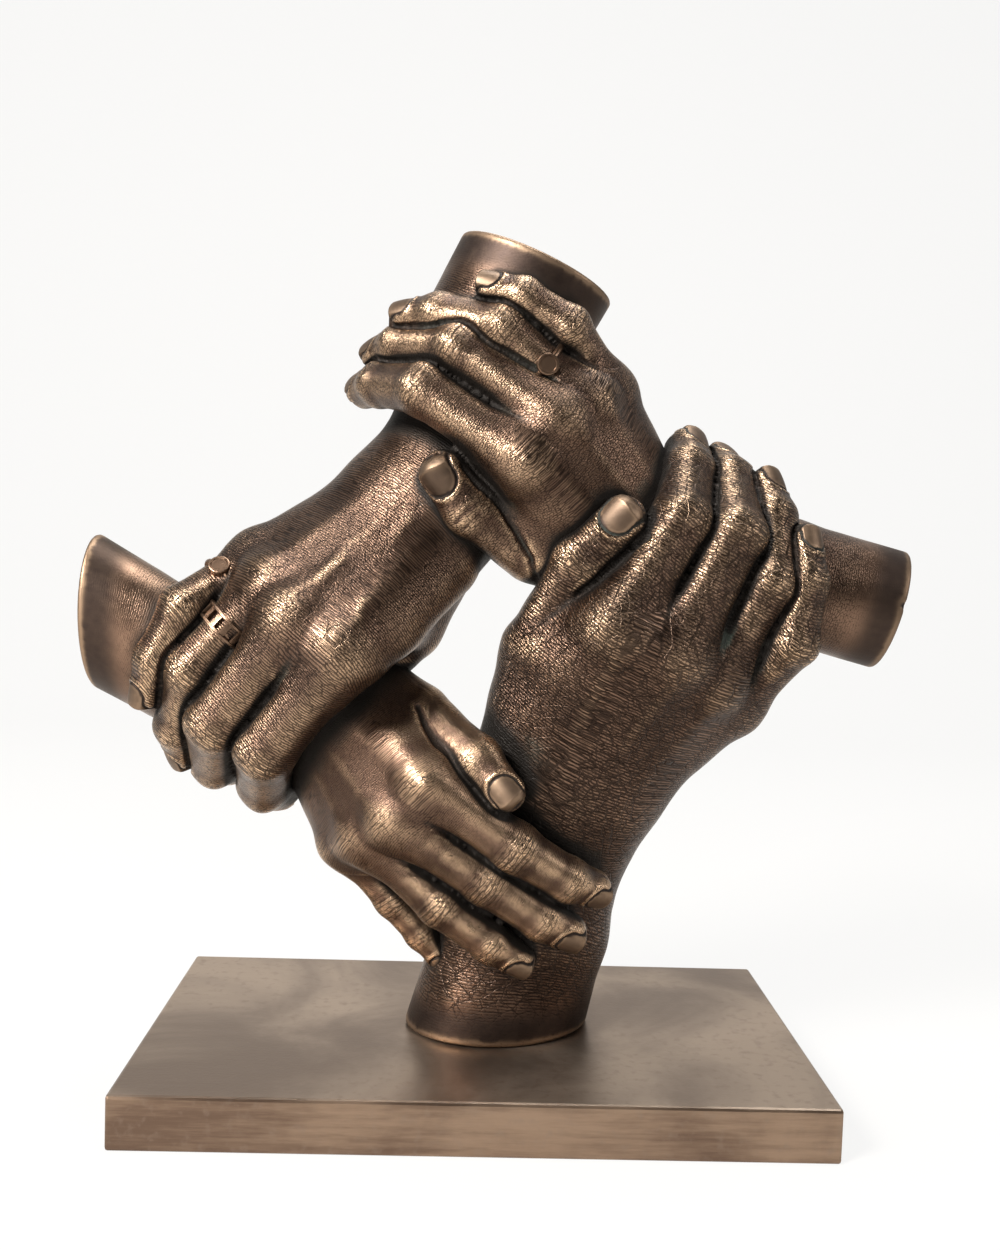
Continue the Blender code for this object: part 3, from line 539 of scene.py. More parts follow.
def add_rod(bm, start, end, start_girth, end_girth, wide=(0, 1.0, 0)):
    """Add a rough rod with round ends to bm: a ball at each end and a tapered drum between them."""
    axis = Vector(end) - Vector(start)
    length = axis.length
    axis = axis.normalized() if length > SHORTEST_ROD else Vector((1, 0, 0))
    side = Vector(wide) - axis * Vector(wide).dot(axis)
    side = side.normalized() if side.length > SHORTEST_ROD else axis.orthogonal().normalized()
    turned = Matrix((side, axis.cross(side), axis)).transposed().to_4x4()
    girths = [(girth, girth) if np.isscalar(girth) else tuple(girth) for girth in (start_girth, end_girth)]
    for centre, (wide_girth, deep) in zip((start, end), girths):
        matrix = Matrix.Translation(Vector(centre)) @ turned @ Matrix.Diagonal((wide_girth, deep, deep, 1))
        bmesh.ops.create_icosphere(bm, subdivisions=3, radius=1, matrix=matrix)
    if length > SHORTEST_ROD:
        flat = [deep / wide_girth for wide_girth, deep in girths]
        matrix = (Matrix.Translation((Vector(start) + Vector(end)) / 2) @ turned
                  @ Matrix.Diagonal((1, sum(flat) / 2, 1, 1)))
        bmesh.ops.create_cone(bm, cap_ends=True, segments=32, radius1=girths[0][0], radius2=girths[1][0],
                              depth=length, matrix=matrix)


def settle(points, form, steps, probe=0.0002, reach=0.003):
    """Move points onto the surface where form is nought, along its slope."""
    for _ in range(steps):
        here = form(points)
        slope = np.stack([form(points + np.eye(3)[axis] * probe) - here for axis in range(3)], axis=1) / probe
        push = here / np.maximum((slope ** 2).sum(axis=1), 0.2)
        points = points - slope * np.clip(push, -reach, reach)[:, None]
    return points


def read_points(mesh):
    """The points of a mesh as rows."""
    flat = np.empty(len(mesh.vertices) * 3)
    mesh.vertices.foreach_get("co", flat)
    return flat.reshape(-1, 3)


def write_points(mesh, points):
    """Put the points of a mesh where the rows say."""
    mesh.vertices.foreach_set("co", points.ravel())
    mesh.update()


def point_normals(mesh):
    """The normals of a mesh's points as rows."""
    flat = np.empty(len(mesh.vertices) * 3)
    mesh.vertex_normals.foreach_get("vector", flat)
    return flat.reshape(-1, 3)


def remesh(piece, voxel):
    """Fuse all that a piece holds into one even skin."""
    modifier = piece.modifiers.new("skin", "REMESH")
    modifier.mode = "VOXEL"
    modifier.voxel_size = voxel
    graph = bpy.context.evaluated_depsgraph_get()
    mesh = bpy.data.meshes.new_from_object(piece.evaluated_get(graph))
    piece.modifiers.clear()
    piece.data = mesh


def cut_end(bm, point, outward, reach):
    """Saw off what lies past a plane within reach of a point, and close the face."""
    point, outward = Vector(point), Vector(outward).normalized()
    near = [face for face in bm.faces if (face.calc_center_median() - point).length < reach]
    geometry = list({item for face in near for item in (face, *face.edges, *face.verts)})
    bmesh.ops.bisect_plane(bm, geom=geometry, plane_co=point, plane_no=outward, dist=1e-5)
    past = [vert for vert in bm.verts
            if (vert.co - point).dot(outward) > 1e-5 and (vert.co - point).length < reach]
    bmesh.ops.delete(bm, geom=past, context="VERTS")
    rim = [edge for edge in bm.edges if edge.is_boundary]
    bmesh.ops.holes_fill(bm, edges=rim, sides=0)


def soft_step(value, low, high):
    """Rise from nought at low to one at high."""
    share = np.clip((value - low) / (high - low), 0, 1)
    return share * share * (3 - 2 * share)


def bell(value, width):
    """One at nought, and near nought beyond about twice the width."""
    return np.exp(-(value / width) ** 2)


def value_noise(points, cell, seed=0):
    """Smooth noise between -1 and 1 that changes over about one cell."""
    scaled = points / cell
    corner = np.floor(scaled).astype(np.int64)
    part = scaled - corner
    part = part * part * (3 - 2 * part)
    total = np.zeros(len(points))
    for step in np.ndindex(2, 2, 2):
        at = corner + np.array(step)
        mixed = (at[:, 0] * 73856093) ^ (at[:, 1] * 19349663) ^ (at[:, 2] * 83492791) ^ (seed * 2654435)
        mixed = ((mixed ^ (mixed >> 13)) * 1274126177) & 0x7FFFFFFF
        value = ((mixed ^ (mixed >> 15)) & 0xFFFF) / 32767.5 - 1
        total += value * np.prod(np.where(np.array(step), part, 1 - part), axis=1)
    return total


def along_limb(points, chain, first=0):
    """For points by a bent limb: length along its back, offset to the side, height over the bones, and the
    distance along the skin from the top of each joint."""
    joints, frames, bends = chain
    local = points - joints[first]
    run, side, over = (local @ frames[first][:, axis] for axis in range(3))
    extra, reach, from_joints = np.zeros(len(points)), 0.0, []
    for joint in range(first + 1, 3):
        reach += np.linalg.norm(joints[joint] - joints[joint - 1])
        offset = points - joints[joint]
        before_x, before_z = offset @ frames[joint - 1][:, 0], offset @ frames[joint - 1][:, 2]
        after_x, after_z = offset @ frames[joint][:, 0], offset @ frames[joint][:, 2]
        bend = max(bends[joint], 0.0)
        wedge = (before_z > 0) & (before_x > 0) & (after_x <= 0) & (bend > 0)
        after = np.where(before_z > 0, after_x > 0, before_x + after_x > 0) & ~wedge
        height = np.hypot(before_x, before_z)
        swing = np.clip(np.arctan2(before_x, np.maximum(before_z, 1e-6)), 0, bend)
        arc = np.maximum(after_z, 0) * bend
        past = np.where(after, reach + extra + arc + after_x, run)
        run = np.where(wedge, reach + extra + height * swing, past)
        over = np.where(wedge, height, np.where(after, after_z, over))
        from_joints.append(run - reach - extra - np.maximum(over, 0) * bend / 2)
        extra = np.where(after, extra + arc, extra)
    return run, side, over, from_joints


def joint_folds(away, side, over, radius, folds, width, seed, points):
    """Depth of the creases over one joint, which bow away from its top."""
    wander = value_noise(points, 0.0035, seed) * 0.0004
    inside = bell(side / (radius * 0.95), 1.0) * soft_step(over, radius * 0.15, radius * 0.55)
    depth = np.zeros(len(points))
    for place, deep in folds:
        bow = place * (1 - 0.45 * (side / radius) ** 2)
        depth += deep * bell(away - bow + wander, width)
    return depth * inside


def nail_outline(lengthwise, side, half_length, half_width):
    """Signed distance to a nail's outline: round at the root, nearly square at the free edge."""
    corner = np.where(lengthwise < 0, half_width * 0.85, half_width * 0.45)
    x = np.abs(lengthwise) - half_length + corner
    y = np.abs(side) - half_width + corner
    return np.minimum(np.maximum(x, y), 0) + np.hypot(np.maximum(x, 0), np.maximum(y, 0)) - corner


def nail_frame(hand, bones, finger):
    """The frame of a finger's last bone, turned on the thumb so that the nail faces the way it does."""
    last = bones[finger][1][2]
    if finger != "thumb":
        return last
    facing = np.array(hand["nail_facing"])
    over = facing - last[:, 0] * (facing @ last[:, 0])
    over = over / np.linalg.norm(over)
    return np.stack((last[:, 0], np.cross(over, last[:, 0]), over), axis=1)


def nail_shape(points, tip, turned, tip_radius):
    """Where a nail lies: outline distance, lengthwise place, side, lift to its plate and half its length."""
    local = points - tip
    along, side, over = (local @ turned[:, axis] for axis in range(3))
    half_length, half_width = tip_radius * 0.76, tip_radius * 0.74
    middle = -half_length - tip_radius * 0.06
    outline = nail_outline(along - middle, side, half_length, half_width)
    outline = np.where(over > tip_radius * 0.1, outline, tip_radius)
    curve = tip_radius * 1.06
    share = (along - middle) / half_length
    top = tip_radius * (1.035 - 0.075 * share) - tip_radius * 0.05 * share ** 2
    plate = top + np.sqrt(np.maximum(curve ** 2 - side ** 2, 0)) - curve
    return outline, along - middle, side, plate - over, half_length


def skin_relief(points, hand, bones, parts):
    """Lift of the skin over the bare form, and how far each point lies in a nail."""
    size = hand["size"]
    lift = value_noise(points, 0.011, 3) * 0.00014 + value_noise(points, 0.0048, 5) * 0.00004
    girth = hand["girth"] * size
    limbs = np.stack([parts[name] for name in ("palm", "arm", *FINGERS, "thumb")])
    nearest = limbs.argmin(axis=0)
    folds = np.zeros(len(points))
    nails, rims = np.zeros(len(points)), np.zeros(len(points))
    plate_move = np.zeros((len(points), 3))
    for number, name in enumerate((*FINGERS, "thumb")):
        mine = nearest == number + 2
        if not mine.any():
            continue
        chosen = points[mine]
        if name == "thumb":
            radii = np.array(THUMB_GIRTH) * girth * hand["thumb_fullness"]
            first = 1
        else:
            radii = np.array(GIRTH[name]) * girth * hand["fullness"][name]
            first = 0
        run, side, over, away = along_limb(chosen, bones[name], first)
        back = soft_step(over, 0, radii[1] * 0.7)
        here = np.zeros(len(chosen))
        if name != "thumb":
            length = np.linalg.norm(bones[name][0][1] - bones[name][0][0])
            here -= 0.00030 * size * bell(run - length * 0.55, length * 0.22)
            here += 0.00030 * size * bell(away[0], 0.0070 * size)
            window = bell(away[0], 0.0062 * size) * back + 0.55 * bell(away[1], 0.0038 * size) * back
            folds_here = joint_folds(away[0], side, over, radii[1],
                                     [(-0.0040, 0.00007), (-0.0011, 0.00014), (0.0018, 0.00012),
                                      (0.0045, 0.00007)], 0.00050, 11 + number, chosen)
            folds_here += joint_folds(away[1], side, over, radii[2],
                                      [(-0.0014, 0.00012), (0.0008, 0.00018)],
                                      0.00045, 21 + number, chosen)
            here += 0.00015 * size * bell(away[1], 0.0045 * size)
        else:
            folds_here = joint_folds(away[0], side, over, radii[2],
                                     [(-0.0030, 0.00014), (0.0, 0.00026), (0.0026, 0.00022)],
                                     0.00050, 31, chosen)
            here += 0.00050 * size * bell(away[0], 0.0055 * size)
            window = bell(away[0], 0.0060 * size) * back
            here -= 0.00050 * size * bell(away[0] + 0.014 * size, 0.006 * size)
        folds_here *= hand["creases"]
        here -= folds_here
        turned = nail_frame(hand, bones, name)
        shape = nail_shape(chosen, bones[name][0][3], turned, radii[3])
        outline, lengthwise, _, raise_to, half_length = shape
        off_end = soft_step(lengthwise, half_length * 0.55, half_length * 0.95)
        here += 0.00035 * bell(outline - 0.0014, 0.0009) * (1 - off_end)
        here -= 0.00045 * bell(outline - 0.0003, 0.00038) * (1 - off_end)
        # rims marks where painted shade goes along the nail edges; the gaps between fingers and the creases
        # are added below.
        rims[mine] = bell(outline - 0.0002, 0.00045) * (1 - 0.6 * off_end)
        here -= 0.00045 * soft_step(outline, 0, 0.0004) * (1 - soft_step(outline, 0.0012, 0.0030)) * off_end
        inside = 1 - soft_step(outline, -0.00025, 0.00020)
        plate_move[mine] = (inside * np.clip(raise_to, -0.0010, 0.0022))[:, None] * turned[:, 2]
        nails[mine] = inside
        folds[mine] = window * (1 - inside)
        lift[mine] = np.where(inside > 0.5, 0, lift[mine] + here)
    for first, second in zip(FINGERS, FINGERS[1:]):
        between = np.abs(parts[first] - parts[second])
        near = 1 - soft_step(np.maximum(parts[first], parts[second]), 0.0012, 0.0030)
        fold = bell(between, 0.0011) * near * (1 - nails)
        lift -= 0.0014 * fold
        rims = np.maximum(rims, fold)
    local = (points - bones["wrist"]) @ bones["frame"]
    x, y, z = local[:, 0] / size, local[:, 1] / (size * hand["breadth"]), local[:, 2] / size
    back = soft_step(z, -0.004, 0.004) * (nearest <= 5)
    for name, strength in zip(FINGERS, hand["tendons"]):
        start, end = np.array(CARPAL[name]), np.array(KNUCKLE[name])
        share = (x - start[0]) / (end[0] - start[0])
        middle = start[1] + (end[1] - start[1]) * share
        reach = soft_step(share, 0.15, 0.40) * (1 - soft_step(share, 0.88, 1.02))
        lift += strength * 0.00060 * bell(y - middle, 0.0034) * reach * back
        at_knuckle = bell(np.hypot(x - end[0], y - end[1]), 0.0075) * back
        lift += 0.00045 * at_knuckle
        folds = np.maximum(folds, 0.55 * at_knuckle)
        if name != "index":
            lift -= 0.00030 * bell(y - middle - 0.010, 0.0042) * bell(share - 1.0, 0.16) * back
    for line, rise, width in hand["strokes"]:
        away = np.full(len(points), 1.0)
        for start, end in zip(line, line[1:]):
            away = np.minimum(away, tapered_round(points, np.array(start), np.array(end), 0, 0))
        if rise > 0:
            from_ends = np.minimum(*(np.linalg.norm(points - end, axis=1) for end in (line[0], line[-1])))
            rise = 0.65 * rise * soft_step(from_ends, 0, 4 * width)
            lift += rise * bell(away, width * 1.4) * (1 - nails)
            continue
        lift += rise * bell(away, width) * (1 - nails)
        rims = np.maximum(rims, 0.8 * bell(away, width * 0.6))
    return lift, plate_move, nails, folds, nearest, rims


def skin_places(points, hand, bones, parts, nearest):
    """Two flat charts of the skin in millimetres: one along and around the nearest limb, with its share as the
    third number, and one over the palm."""
    size = hand["size"]
    local = (points - bones["wrist"]) @ bones["frame"]
    steep = np.tanh(local[:, 1] / 0.010) * soft_step(np.abs(local[:, 1]), 0.014, 0.030)
    across = local[:, 1] - (local[:, 2] + 0.004) * steep
    over_palm = np.stack((local[:, 0], np.where(local[:, 2] > -0.010 * size, across, -across)), axis=1)
    along = over_palm.copy()
    share = np.zeros(len(points))
    girth = hand["girth"] * size
    for number, name in enumerate((*FINGERS, "thumb")):
        mine = nearest == number + 2
        if not mine.any():
            continue
        first = 1 if name == "thumb" else 0
        radius = (THUMB_GIRTH[2] if name == "thumb" else GIRTH[name][1] * hand["fullness"][name]) * girth
        run, side, over, _ = along_limb(points[mine], bones[name], first)
        root = (bones[name][0][first] - bones["wrist"]) @ bones["frame"]
        along[mine] = np.stack((root[0] + run, root[1] + np.arctan2(side, over) * radius), axis=1)
        share[mine] = soft_step(run, -0.004, 0.010)
    arm = nearest == 1
    start, end = bones["wrist"], np.array(hand["arm_end"])
    axis = (end - start) / np.linalg.norm(end - start)
    wide = bones["frame"][:, 1] - axis * (bones["frame"][:, 1] @ axis)
    wide /= np.linalg.norm(wide)
    deep = np.cross(wide, axis)
    offset = points[arm] - start
    run = offset @ axis
    sideways, outward = offset @ wide, -(offset @ deep)
    if deep @ bones["frame"][:, 2] > 0:
        outward = -outward
    around = np.arctan2(sideways, outward) * np.mean(hand["wrist_girth"])
    along[arm] = np.stack((np.hypot(sideways, outward) - run, around), axis=1)
    share[arm] = soft_step(run, 0.0, 0.020)
    return np.column_stack((along * 1000, share)), np.column_stack((over_palm * 1000, np.zeros(len(points))))


ROUGH_VOXEL, QUICK_COARSER = 0.0022, 1.8


def rough_hand(name):
    """The form of one hand, evenly skinned and settled on its flesh."""
    hand, bones = HANDS[name], skeleton(HANDS[name])
    bm = bmesh.new()
    girth = hand["girth"] * hand["size"]
    rods = palm_rods(hand, bones)
    rods += thumb_rods(bones["thumb"], np.array(THUMB_GIRTH) * girth * hand["thumb_fullness"])
    for finger in FINGERS:
        rods += finger_rods(bones[finger], np.array(GIRTH[finger]) * girth * hand["fullness"][finger])
    for rod in rods:
        add_rod(bm, *rod[:4])
    for oval in arm_ovals(hand, bones):
        add_rod(bm, *oval, wide=bones["frame"][:, 1])
    piece = new_piece("hand_of_" + name, bm)
    remesh(piece, ROUGH_VOXEL)

    def form(points):
        """The signed distance to this hand."""
        return hand_form(points, hand, bones)

    bm = bmesh.new()
    bm.from_mesh(piece.data)
    cut_end(bm, hand["arm_end"], hand["arm_face"], STUB_REACH)
    bm.to_mesh(piece.data)
    bm.free()
    write_points(piece.data, settle(read_points(piece.data), form, 3))
    remesh(piece, hand["voxel"] * (1.0))
    write_points(piece.data, settle(read_points(piece.data), form, 2))
    return piece, hand, bones, form


def split_faces(piece, chosen):
    """Cut the chosen faces of a piece in four."""
    bm = bmesh.new()
    bm.from_mesh(piece.data)
    bm.faces.ensure_lookup_table()
    edges = {edge for index in np.flatnonzero(chosen) for edge in bm.faces[index].edges}
    bmesh.ops.subdivide_edges(bm, edges=list(edges), cuts=1, use_grid_fill=True)
    bm.to_mesh(piece.data)
    bm.free()


def face_values(mesh):
    """Centres and normals of a mesh's faces as rows."""
    centres, normals = np.empty(len(mesh.polygons) * 3), np.empty(len(mesh.polygons) * 3)
    mesh.polygons.foreach_get("center", centres)
    mesh.polygons.foreach_get("normal", normals)
    return centres.reshape(-1, 3), normals.reshape(-1, 3)


def spread(mesh, values, rounds):
    """Average a value at each point with its neighbours."""
    flat = np.empty(len(mesh.edges) * 2, dtype=np.int32)
    mesh.edges.foreach_get("vertices", flat)
    a, b = flat.reshape(-1, 2).T
    count = len(mesh.vertices)
    degree = np.bincount(a, minlength=count) + np.bincount(b, minlength=count)
    for _ in range(rounds):
        total = np.bincount(a, values[b], count) + np.bincount(b, values[a], count)
        values = (values + total / np.maximum(degree, 1)) / 2
    return values


def bulge(mesh, points, normals):
    """How far each point stands over its neighbours, in millimetres."""
    flat = np.empty(len(mesh.edges) * 2, dtype=np.int32)
    mesh.edges.foreach_get("vertices", flat)
    a, b = flat.reshape(-1, 2).T
    count = len(points)
    degree = np.maximum(np.bincount(a, minlength=count) + np.bincount(b, minlength=count), 1)
    lengths = np.linalg.norm(points[a] - points[b], axis=1)
    mean_length = (np.bincount(a, lengths, count) + np.bincount(b, lengths, count)) / degree
    mean = np.stack([np.bincount(a, points[b, axis], count) + np.bincount(b, points[a, axis], count)
                     for axis in range(3)], axis=1) / degree[:, None]
    return ((points - mean) * normals).sum(axis=1) / np.maximum(mean_length, 1e-6) ** 2


CHIP_PLACE, CHIP_DEPTH, CHIP_WIDTH = (0.1604, -0.0240, 0.1978), 0.0014, 0.0016
BARE_BAND = (-0.0300, -0.0060)
FRONT_FACING, BURIED, NAIL_FACING = -0.15, 0.0010, 0.3
NAIL_EDGE_OUT, NAIL_EDGE_IN = 0.0020, 0.0030
RIDGE_ROUNDS, RIDGE_FULL, RIM_SHADE = 9, 160, 0.50
OPENNESS_STEPS = (0.0012, 0.0030, 0.0070, 0.0150)


def openness(points, normals, skeletons):
    """How open each point lies, from the room left in front of it among all the hands."""
    total = np.zeros(len(points))
    for step in OPENNESS_STEPS:
        out = points + normals * step
        room = np.full(len(points), step)
        for name, bones in skeletons.items():
            hand = HANDS[name]
            room = np.minimum(room, hand_form(out, hand, bones))
        total += np.clip(room / step, 0, 1)
    return total / len(OPENNESS_STEPS)


skeletons = {name: skeleton(hand) for name, hand in HANDS.items()}
hand_pieces = {}
for name in HANDS:
    piece, hand, bones, form = rough_hand(name)
    centres, normals = face_values(piece.data)
    others = np.min([hand_form(centres, HANDS[other], skeletons[other])
                     for other in HANDS if other != name], axis=0)
    split_faces(piece, (normals[:, 1] < FRONT_FACING) & (others > -BURIED))
    write_points(piece.data, settle(read_points(piece.data), form, 1))
    centres, normals = face_values(piece.data)
    nail_area = np.zeros(len(centres), dtype=bool)
    for finger in (*FINGERS, "thumb"):
        tip_radius = GIRTH.get(finger, THUMB_GIRTH)[3] * hand["girth"] * hand["size"]
        tip_radius *= hand["fullness"].get(finger, hand["thumb_fullness"])
        outline = nail_shape(centres, bones[finger][0][3], nail_frame(hand, bones, finger), tip_radius)[0]
        near_tip = np.linalg.norm(centres - bones[finger][0][3], axis=1) < tip_radius * 3
        nail_area |= near_tip & (outline < NAIL_EDGE_OUT) & (outline > -NAIL_EDGE_IN)
    split_faces(piece, nail_area & (normals[:, 1] < NAIL_FACING))
    write_points(piece.data, settle(read_points(piece.data), form, 1))
    points = read_points(piece.data)
    normals = point_normals(piece.data)
    parts = hand_parts(points, hand, bones)
    lift, plate_move, nails, folds, nearest, rims = skin_relief(points, hand, bones, parts)
    from_end = points - np.array(hand["arm_end"])
    at_stub = from_end @ (np.array(hand["arm_face"]) / np.linalg.norm(hand["arm_face"]))
    near_stub = soft_step(at_stub, *BARE_BAND) * (np.linalg.norm(from_end, axis=1) < STUB_REACH)
    lift = lift * (1 - near_stub)
    if name == "right_arm":
        lift -= CHIP_DEPTH * bell(np.linalg.norm(points - CHIP_PLACE, axis=1), CHIP_WIDTH)
    open_share = openness(points, normals, skeletons)
    places = skin_places(points, hand, bones, parts, nearest)
    points = points + normals * lift[:, None] + plate_move
    write_points(piece.data, points)
    ridge = spread(piece.data, bulge(piece.data, points, point_normals(piece.data)), RIDGE_ROUNDS)
    ridge = np.clip(ridge / RIDGE_FULL, -1, 1) * 0.5 + 0.5
    # recess holds painted shade where little room lies in front of the skin among the hands, with the patina
    # held there; rims add painted shade along nail edges, finger gaps and creases.
    recess = np.maximum(1 - open_share, RIM_SHADE * rims)
    marks = np.column_stack((recess, ridge, np.clip(folds, 0, 1), (1 - nails) * (1 - 0.85 * near_stub)))
    for name_of_chart, chart in zip(("limb_place", "palm_place"), places):
        place_values = piece.data.attributes.new(name_of_chart, "FLOAT_VECTOR", "POINT")
        place_values.data.foreach_set("vector", chart.astype(np.float32).ravel())
    mark_values = piece.data.attributes.new("shade_and_skin_marks", "FLOAT_COLOR", "POINT")
    mark_values.data.foreach_set("color", marks.astype(np.float32).ravel())
    piece.data.polygons.foreach_set("use_smooth", np.ones(len(piece.data.polygons), dtype=bool))
    hand_pieces[name] = piece


WAVE_UNIT = 0.314


def make_skin_group():
    """The fine relief of cast skin: leathery cells, lines across the limb, crossed lines, folds and pores."""
    group = bpy.data.node_groups.new("cast_skin", "ShaderNodeTree")
    for name, kind, value in (("Limb", "NodeSocketVector", None), ("Palm", "NodeSocketVector", None),
                              ("Leather", "NodeSocketFloat", 1.0), ("Lines", "NodeSocketFloat", 1.0),
                              ("Cross", "NodeSocketFloat", 1.0), ("Cell", "NodeSocketFloat", 1.3),
                              ("Skin", "NodeSocketFloat", 1.0), ("Folds", "NodeSocketFloat", 0.0)):
        socket = group.interface.new_socket(name, in_out="INPUT", socket_type=kind)
        if value is not None:
            socket.default_value = value
    group.interface.new_socket("Height", in_out="OUTPUT", socket_type="NodeSocketFloat")
    inside = node(group, "NodeGroupInput").outputs
    room_place = node(group, "ShaderNodeTexCoord").outputs["Object"]
    warp = node(group, "ShaderNodeTexNoise", {"Vector": room_place, "Scale": 160.0, "Detail": 2.0}).outputs[1]
    warp = node(group, "ShaderNodeVectorMath", {0: warp, 1: (0.5, 0.5, 0.5)}, operation="SUBTRACT").outputs[0]
    warp = node(group, "ShaderNodeVectorMath", {0: warp, 1: (0.9, 0.9, 0.0)}, operation="MULTIPLY").outputs[0]
    size = node(group, "ShaderNodeCombineXYZ", dict.fromkeys(range(3), inside["Cell"])).outputs[0]
    cross_share = math_node(group, "ADD", inside["Cross"], math_node(group, "MULTIPLY", inside["Folds"], 0.8))

    def lies_turned(chart, turned):
        """The chart turned about its middle."""
        return node(group, "ShaderNodeMapping", {"Vector": chart, "Rotation": (0, 0, turned)}).outputs[0]

    def cells(chart, turned, squash, scale, depth):
        """Nought along the cracks between cells, one inside. The cells are drawn out across the turn."""
        lies = node(group, "ShaderNodeVectorMath", {0: lies_turned(chart, turned), 1: (1.0, squash, 1.0)},
                    operation="MULTIPLY").outputs[0]
        edge = node(group, "ShaderNodeTexVoronoi", {"Vector": lies, "Scale": scale},
                    feature="DISTANCE_TO_EDGE", voronoi_dimensions="2D").outputs[0]
        return ramp(group, edge, 0.0, depth)

    def furrows(chart, turned, period, bend, furrow):
        """Nought along wavering furrows that run across the turned direction, one between them."""
        wave = node(group, "ShaderNodeTexWave",
                    {"Vector": lies_turned(chart, turned), "Scale": WAVE_UNIT / period, "Distortion": bend,
                     "Detail": 1.0, "Detail Scale": 0.9}).outputs[1]
        return ramp(group, wave, 0.0, furrow)

    def sunk(level, depth, share):
        """The depth of a crack pattern below the skin, in millimetres."""
        below = math_node(group, "SUBTRACT", level, 1.0)
        return math_node(group, "MULTIPLY", math_node(group, "MULTIPLY", below, depth), share)

    def cracks(place):
        """All the patterns over one chart."""
        chart = node(group, "ShaderNodeVectorMath", {0: place, 1: warp}, operation="ADD").outputs[0]
        chart = node(group, "ShaderNodeVectorMath", {0: chart, 1: size}, operation="DIVIDE").outputs[0]
        both = math_node(group, "MINIMUM", cells(chart, 0.75, 0.50, 0.36, 0.045),
                         cells(chart, -0.50, 0.45, 0.33, 0.045))
        layers = (sunk(cells(chart, 0.25, 0.60, 1.10, 0.22), 0.12, inside["Leather"]),
                  sunk(cells(chart, -0.50, 0.80, 2.30, 0.30), 0.05, inside["Leather"]),
                  sunk(furrows(chart, 0.0, 0.80, 2.0, 0.7), 0.14, inside["Lines"]),
                  sunk(cells(chart, 0.0, 0.30, 0.75, 0.12), 0.10, inside["Lines"]),
                  sunk(both, 0.20, cross_share),
                  sunk(furrows(chart, 0.0, 2.00, 4.5, 0.22), 0.20, inside["Folds"]))
        total = layers[0]
        for layer in layers[1:]:
            total = math_node(group, "ADD", total, layer)
        return total

    limb_share = node(group, "ShaderNodeSeparateXYZ", {0: inside["Limb"]}).outputs[2]
    over_palm, over_limb = cracks(inside["Palm"]), cracks(inside["Limb"])
    total = node(group, "ShaderNodeMix", {0: limb_share, 2: over_palm, 3: over_limb}).outputs[0]
    pores = node(group, "ShaderNodeTexNoise",
                 {"Vector": room_place, "Scale": 1300.0, "Detail": 2.0}).outputs[0]
    pores = math_node(group, "MULTIPLY", pores, 0.03)
    total = math_node(group, "MULTIPLY", total, inside["Skin"])
    drawn = node(group, "ShaderNodeMapping", {"Vector": room_place, "Scale": (1.0, 1.0, 14.0)}).outputs[0]
    filed = node(group, "ShaderNodeTexNoise", {"Vector": drawn, "Scale": 150.0, "Detail": 3.0}).outputs[0]
    smooth = math_node(group, "SUBTRACT", 1.0, inside["Skin"], clamp=True)
    filed = math_node(group, "MULTIPLY", math_node(group, "SUBTRACT", filed, 0.5), 0.07)
    filed = math_node(group, "MULTIPLY", filed, smooth)
    node(group, "NodeGroupOutput", {0: math_node(group, "ADD", math_node(group, "ADD", total, pores), filed)})
    return group


